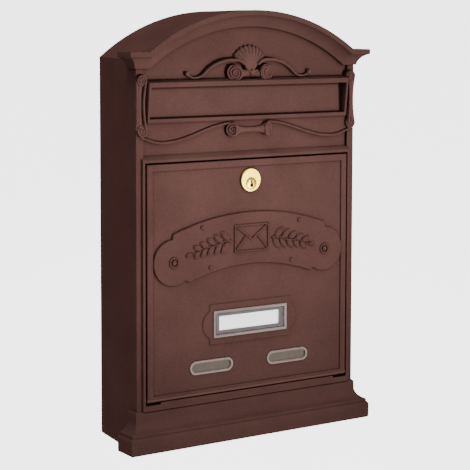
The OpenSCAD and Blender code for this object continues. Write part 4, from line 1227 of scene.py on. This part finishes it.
# %% View windows
for label, side in (("view_window_left", -1), ("view_window_right", 1)):
    line = stadium(side * VIEW_X, VIEW_H, 54.5, 14.8, 20)
    steps = [(0.0, PANEL_T + 0.05), (0.0, PANEL_T + 0.6), (-0.35, PANEL_T + 1.05),
             (-1.0, PANEL_T + 1.18), (-2.0, PANEL_T + 1.1), (-2.7, PANEL_T + 0.6),
             (-3.0, PANEL_T - 0.4), (-3.1, PANEL_T - 1.1)]
    points, faces = join_parts(raised(line, steps, close=False))
    add_piece(label + "_rim", points, faces, "door", "clear_plastic", [label], finish=VIEW_RIM)
    prism(stadium(side * VIEW_X, VIEW_H, 49.9, 10.2, 20), -0.9, PANEL_T - 1.0, 0.0,
          label + "_pane", "door", "clear_plastic", VIEW_PANE)
    print(label, len(faces), "faces in its rim")

# %% [markdown]
# ## Edges of the lock
# The lock's flange stays as it is. A dull dark rounded line runs round it and round
# the plug, a darker brass that paints in the shade of the rounded edge and of the
# groove. Two turned rings are enough for that.

# %% Lock rings
LOCK_FACE_T, PLUG_T, KEY_H = PANEL_T + 1.95, PANEL_T + 2.9, LOCK_H - 3.6
line = [(12.7, PANEL_T + 0.03), (13.05, PANEL_T + 0.2), (13.1, PANEL_T + 0.9),
        (12.85, PANEL_T + 1.55), (12.3, LOCK_FACE_T - 0.02), (11.95, LOCK_FACE_T + 0.03),
        (11.9, LOCK_FACE_T - 0.1)]
points, faces = turned(line, (0, 0, LOCK_H), (0, 1, 0), 72)
add_piece("lock_flange_edge", points, faces[:-2], "door", "brass", finish=SHADED_BRASS)
line = [(6.3, LOCK_FACE_T - 0.1), (6.36, LOCK_FACE_T + 0.06), (6.55, LOCK_FACE_T + 0.1),
        (6.8, LOCK_FACE_T + 0.04), (6.86, LOCK_FACE_T - 0.1)]
points, faces = turned(line, (0, 0, KEY_H), (0, 1, 0), 48)
add_piece("plug_ring", points, faces[:-2], "door", "brass", finish=SHADED_BRASS)
print("lock face stands out", round(LOCK_FACE_T, 2), "mm")

# %% [markdown]
# ## Plug and keyway
# The plug turns with the key, so it rides on a body of its own. It is made anew
# with a keyway of the real shape: a slit above a round hole. A separate near-black
# lining is painted shade that makes it look deep, and it turns with the plug.

# %% Plug and keyway
keyhole = [(1.15, KEY_H + 3.4), (-1.15, KEY_H + 3.4)]
keyhole += [(2.15 * math.cos(a), KEY_H - 1.9 + 2.15 * math.sin(a))
            for a in np.radians(np.linspace(122, 418, 26))]
low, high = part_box("lock_plug")
back_t = FACE - 1000 * high[1]
steps = [(0.0, 0.06), (0.0, PLUG_T - 0.3), (-0.1, PLUG_T - 0.1), (-0.3, PLUG_T)]
parts = raised(circle(0, KEY_H, 6.25), steps, [keyhole])
parts.append(turned([(6.24, 0.06), (4.6, 0.06), (4.6, back_t + 2.5), (0.1, back_t + 2.5)],
                    (0, 0, KEY_H), (0, 1, 0), 48))
parts.append(block(-3, 3, back_t + 0.01, back_t + 2.6, KEY_H - 3, KEY_H + 3))
points, faces = join_parts(parts)
add_piece("lock_plug_turned", points, faces, "lock", "brass", ["lock_plug"], finish=KEY_BRASS)
# painted shade: a near-black lining in the keyway stands for the shade inside it
points = [(x, t, h) for t in (PLUG_T - 0.05, PLUG_T - 2.3) for x, h in keyhole]
faces = grid_faces(2, len(keyhole), loop=True) + [tuple(range(len(keyhole), 2 * len(keyhole)))]
add_piece("keyway", points, faces, "lock", "brass", finish=SHADE)
print("keyway:", len(keyhole), "points round")

# %% [markdown]
# ## Finishes on the solids that stay
# The housing, flap, lock and fasteners already have their real shape. They only
# need their finish, which goes on the material slots of the solids themselves.

# %% Dress the solids
slot_of = {part["node"]: part["material_slot"] for part in frame["record"]["subparts"]}
for node, solid in frame["nodes"].items():
    finish = PIN_STEEL if node.startswith("hinge_pin") else FINISH[slot_of[node]]
    if not solid.data.materials:
        solid.data.materials.append(finish)
    for k in range(len(solid.material_slots)):
        solid.material_slots[k].material = finish
print("dressed", len(frame["nodes"]), "solids")

# %% [markdown]
# ## Paper and floor
# The letterbox hangs before white paper that bends into a pale floor. The paper is
# square to the camera's view. It glows a little, because a lit sheet that far away
# would come out grey, and more lamps for it would also fall on the letterbox.

# %% Paper and floor
YAW = math.radians(33.153)        # the camera looks this far to the right of straight on
PAPER_GLOW, FLOOR_Z = 3.2, -1.1


def stage_sheet(name, verts, faces, glow):
    mesh = bpy.data.meshes.new(name)
    mesh.from_pydata(verts, [], faces)
    mesh.shade_smooth()
    made = bpy.data.objects.new(name, mesh)
    bpy.context.scene.collection.objects.link(made)
    paper, shader, place = start_material("paper_" + name)
    white = noise(place, 3.0).mix((0.9, 0.9, 0.9, 1), (0.94, 0.94, 0.94, 1))
    plug(shader, "Base Color", white)
    plug(shader, "Roughness", 0.9)
    plug(shader, "Emission Color", white)
    plug(shader, "Emission Strength", glow)
    made.data.materials.append(paper)


def sweep():
    """White paper behind the box, square to the camera's view, above a pale floor."""
    back, r, wide = 2.5, 0.5, 0.85
    line = [(back - r + r * math.sin(a), FLOOR_Z + r - r * math.cos(a))
            for a in np.linspace(0, math.pi / 2, 16)] + [(back, 1.1)]
    away = Vector((math.sin(YAW), math.cos(YAW), 0))
    across = Vector((away.y, -away.x, 0))
    verts = [across * w + away * d + Vector((0, 0, z)) for d, z in line for w in (-wide, wide)]
    stage_sheet("backdrop", verts, grid_faces(len(line), 2), PAPER_GLOW)
    ring = [(4 * math.cos(a), 4 * math.sin(a), FLOOR_Z - 0.005)
            for a in np.linspace(0, 2 * math.pi, 64, endpoint=False)]
    stage_sheet("floor", ring, [tuple(range(64))], 0.0)


sweep()

# %% [markdown]
# ## Lights
# The world gives an even soft light from all around. A small key light stands low
# at the right with a narrow beam. It makes the scrolls cast their shade up and to
# the left, leaves the lower right of the door darker, and stays out of the
# direction in which the brass mirrors the camera. A wide soft light from above
# rests on the roof and the base.

# %% Lights
def area_light(name, spot, aim, size, power, spread):
    lamp = bpy.data.lights.new(name, "AREA")
    lamp.shape, lamp.size, lamp.size_y = "RECTANGLE", size, size
    lamp.energy = power
    made = bpy.data.objects.new(name, lamp)
    made.location = spot
    made.rotation_euler = (Vector(aim) - Vector(spot)).to_track_quat("-Z", "Y").to_euler()
    lamp.spread = math.radians(spread)
    bpy.context.scene.collection.objects.link(made)
    print(name, power, "W")


area_light("key_light", (0.95, -2.25, -0.55), (-0.065, 0, 0.11), 0.4, 2.1, 17)
area_light("top_light", (-0.9, -0.5, 2.5), (0, 0, 0.1), 1.0, 8.6, 60)
world = bpy.data.worlds.new("studio")
world.use_nodes = True
world.node_tree.nodes["Background"].inputs[0].default_value = (1, 1, 1, 1)
world.node_tree.nodes["Background"].inputs[1].default_value = 0.62
bpy.context.scene.world = world

# %% [markdown]
# ## Camera
# The camera's place, direction and lens were solved from straight edges whose
# corners can be found in the photograph. It was solved for a body 285 mm wide, and
# one factor brings it to the real 280 mm. A small shift frames the picture, as
# the photograph's middle isn't where the camera points.

# %% Camera
IMAGE = 470                       # width and height of the picture, pixels
FOCAL = 1568.32                   # focal length, pixels
AIM_X, AIM_Y = 219.10, 153.91     # where in the picture the camera points, pixels
K = 280.0 / 285.0
pitch, rolled = math.radians(4.946), math.radians(0.061)
eye = Vector((-956.85 * K, FACE - 1404.51 * K, FOOT + 457.29 * K)) / 1000
ahead = Vector((math.sin(YAW) * math.cos(pitch), math.cos(YAW) * math.cos(pitch), -math.sin(pitch)))
lens = bpy.data.cameras.new("photo_camera")
lens.sensor_width, lens.lens = 36.0, 36.0 * FOCAL / IMAGE
lens.shift_x = (IMAGE / 2 - AIM_X) / IMAGE
lens.shift_y = (AIM_Y - IMAGE / 2) / IMAGE
lens.clip_start, lens.clip_end = 0.05, 20
camera = bpy.data.objects.new("photo_camera", lens)
turn = ahead.to_track_quat("-Z", "Y").to_matrix().to_4x4()
camera.matrix_world = Matrix.Translation(eye) @ turn @ Matrix.Rotation(rolled, 4, "Z")
bpy.context.scene.collection.objects.link(camera)
bpy.context.scene.camera = camera
print("camera", round(1000 * eye.length), "mm from the letterbox, lens", round(lens.lens, 1))

# %% [markdown]
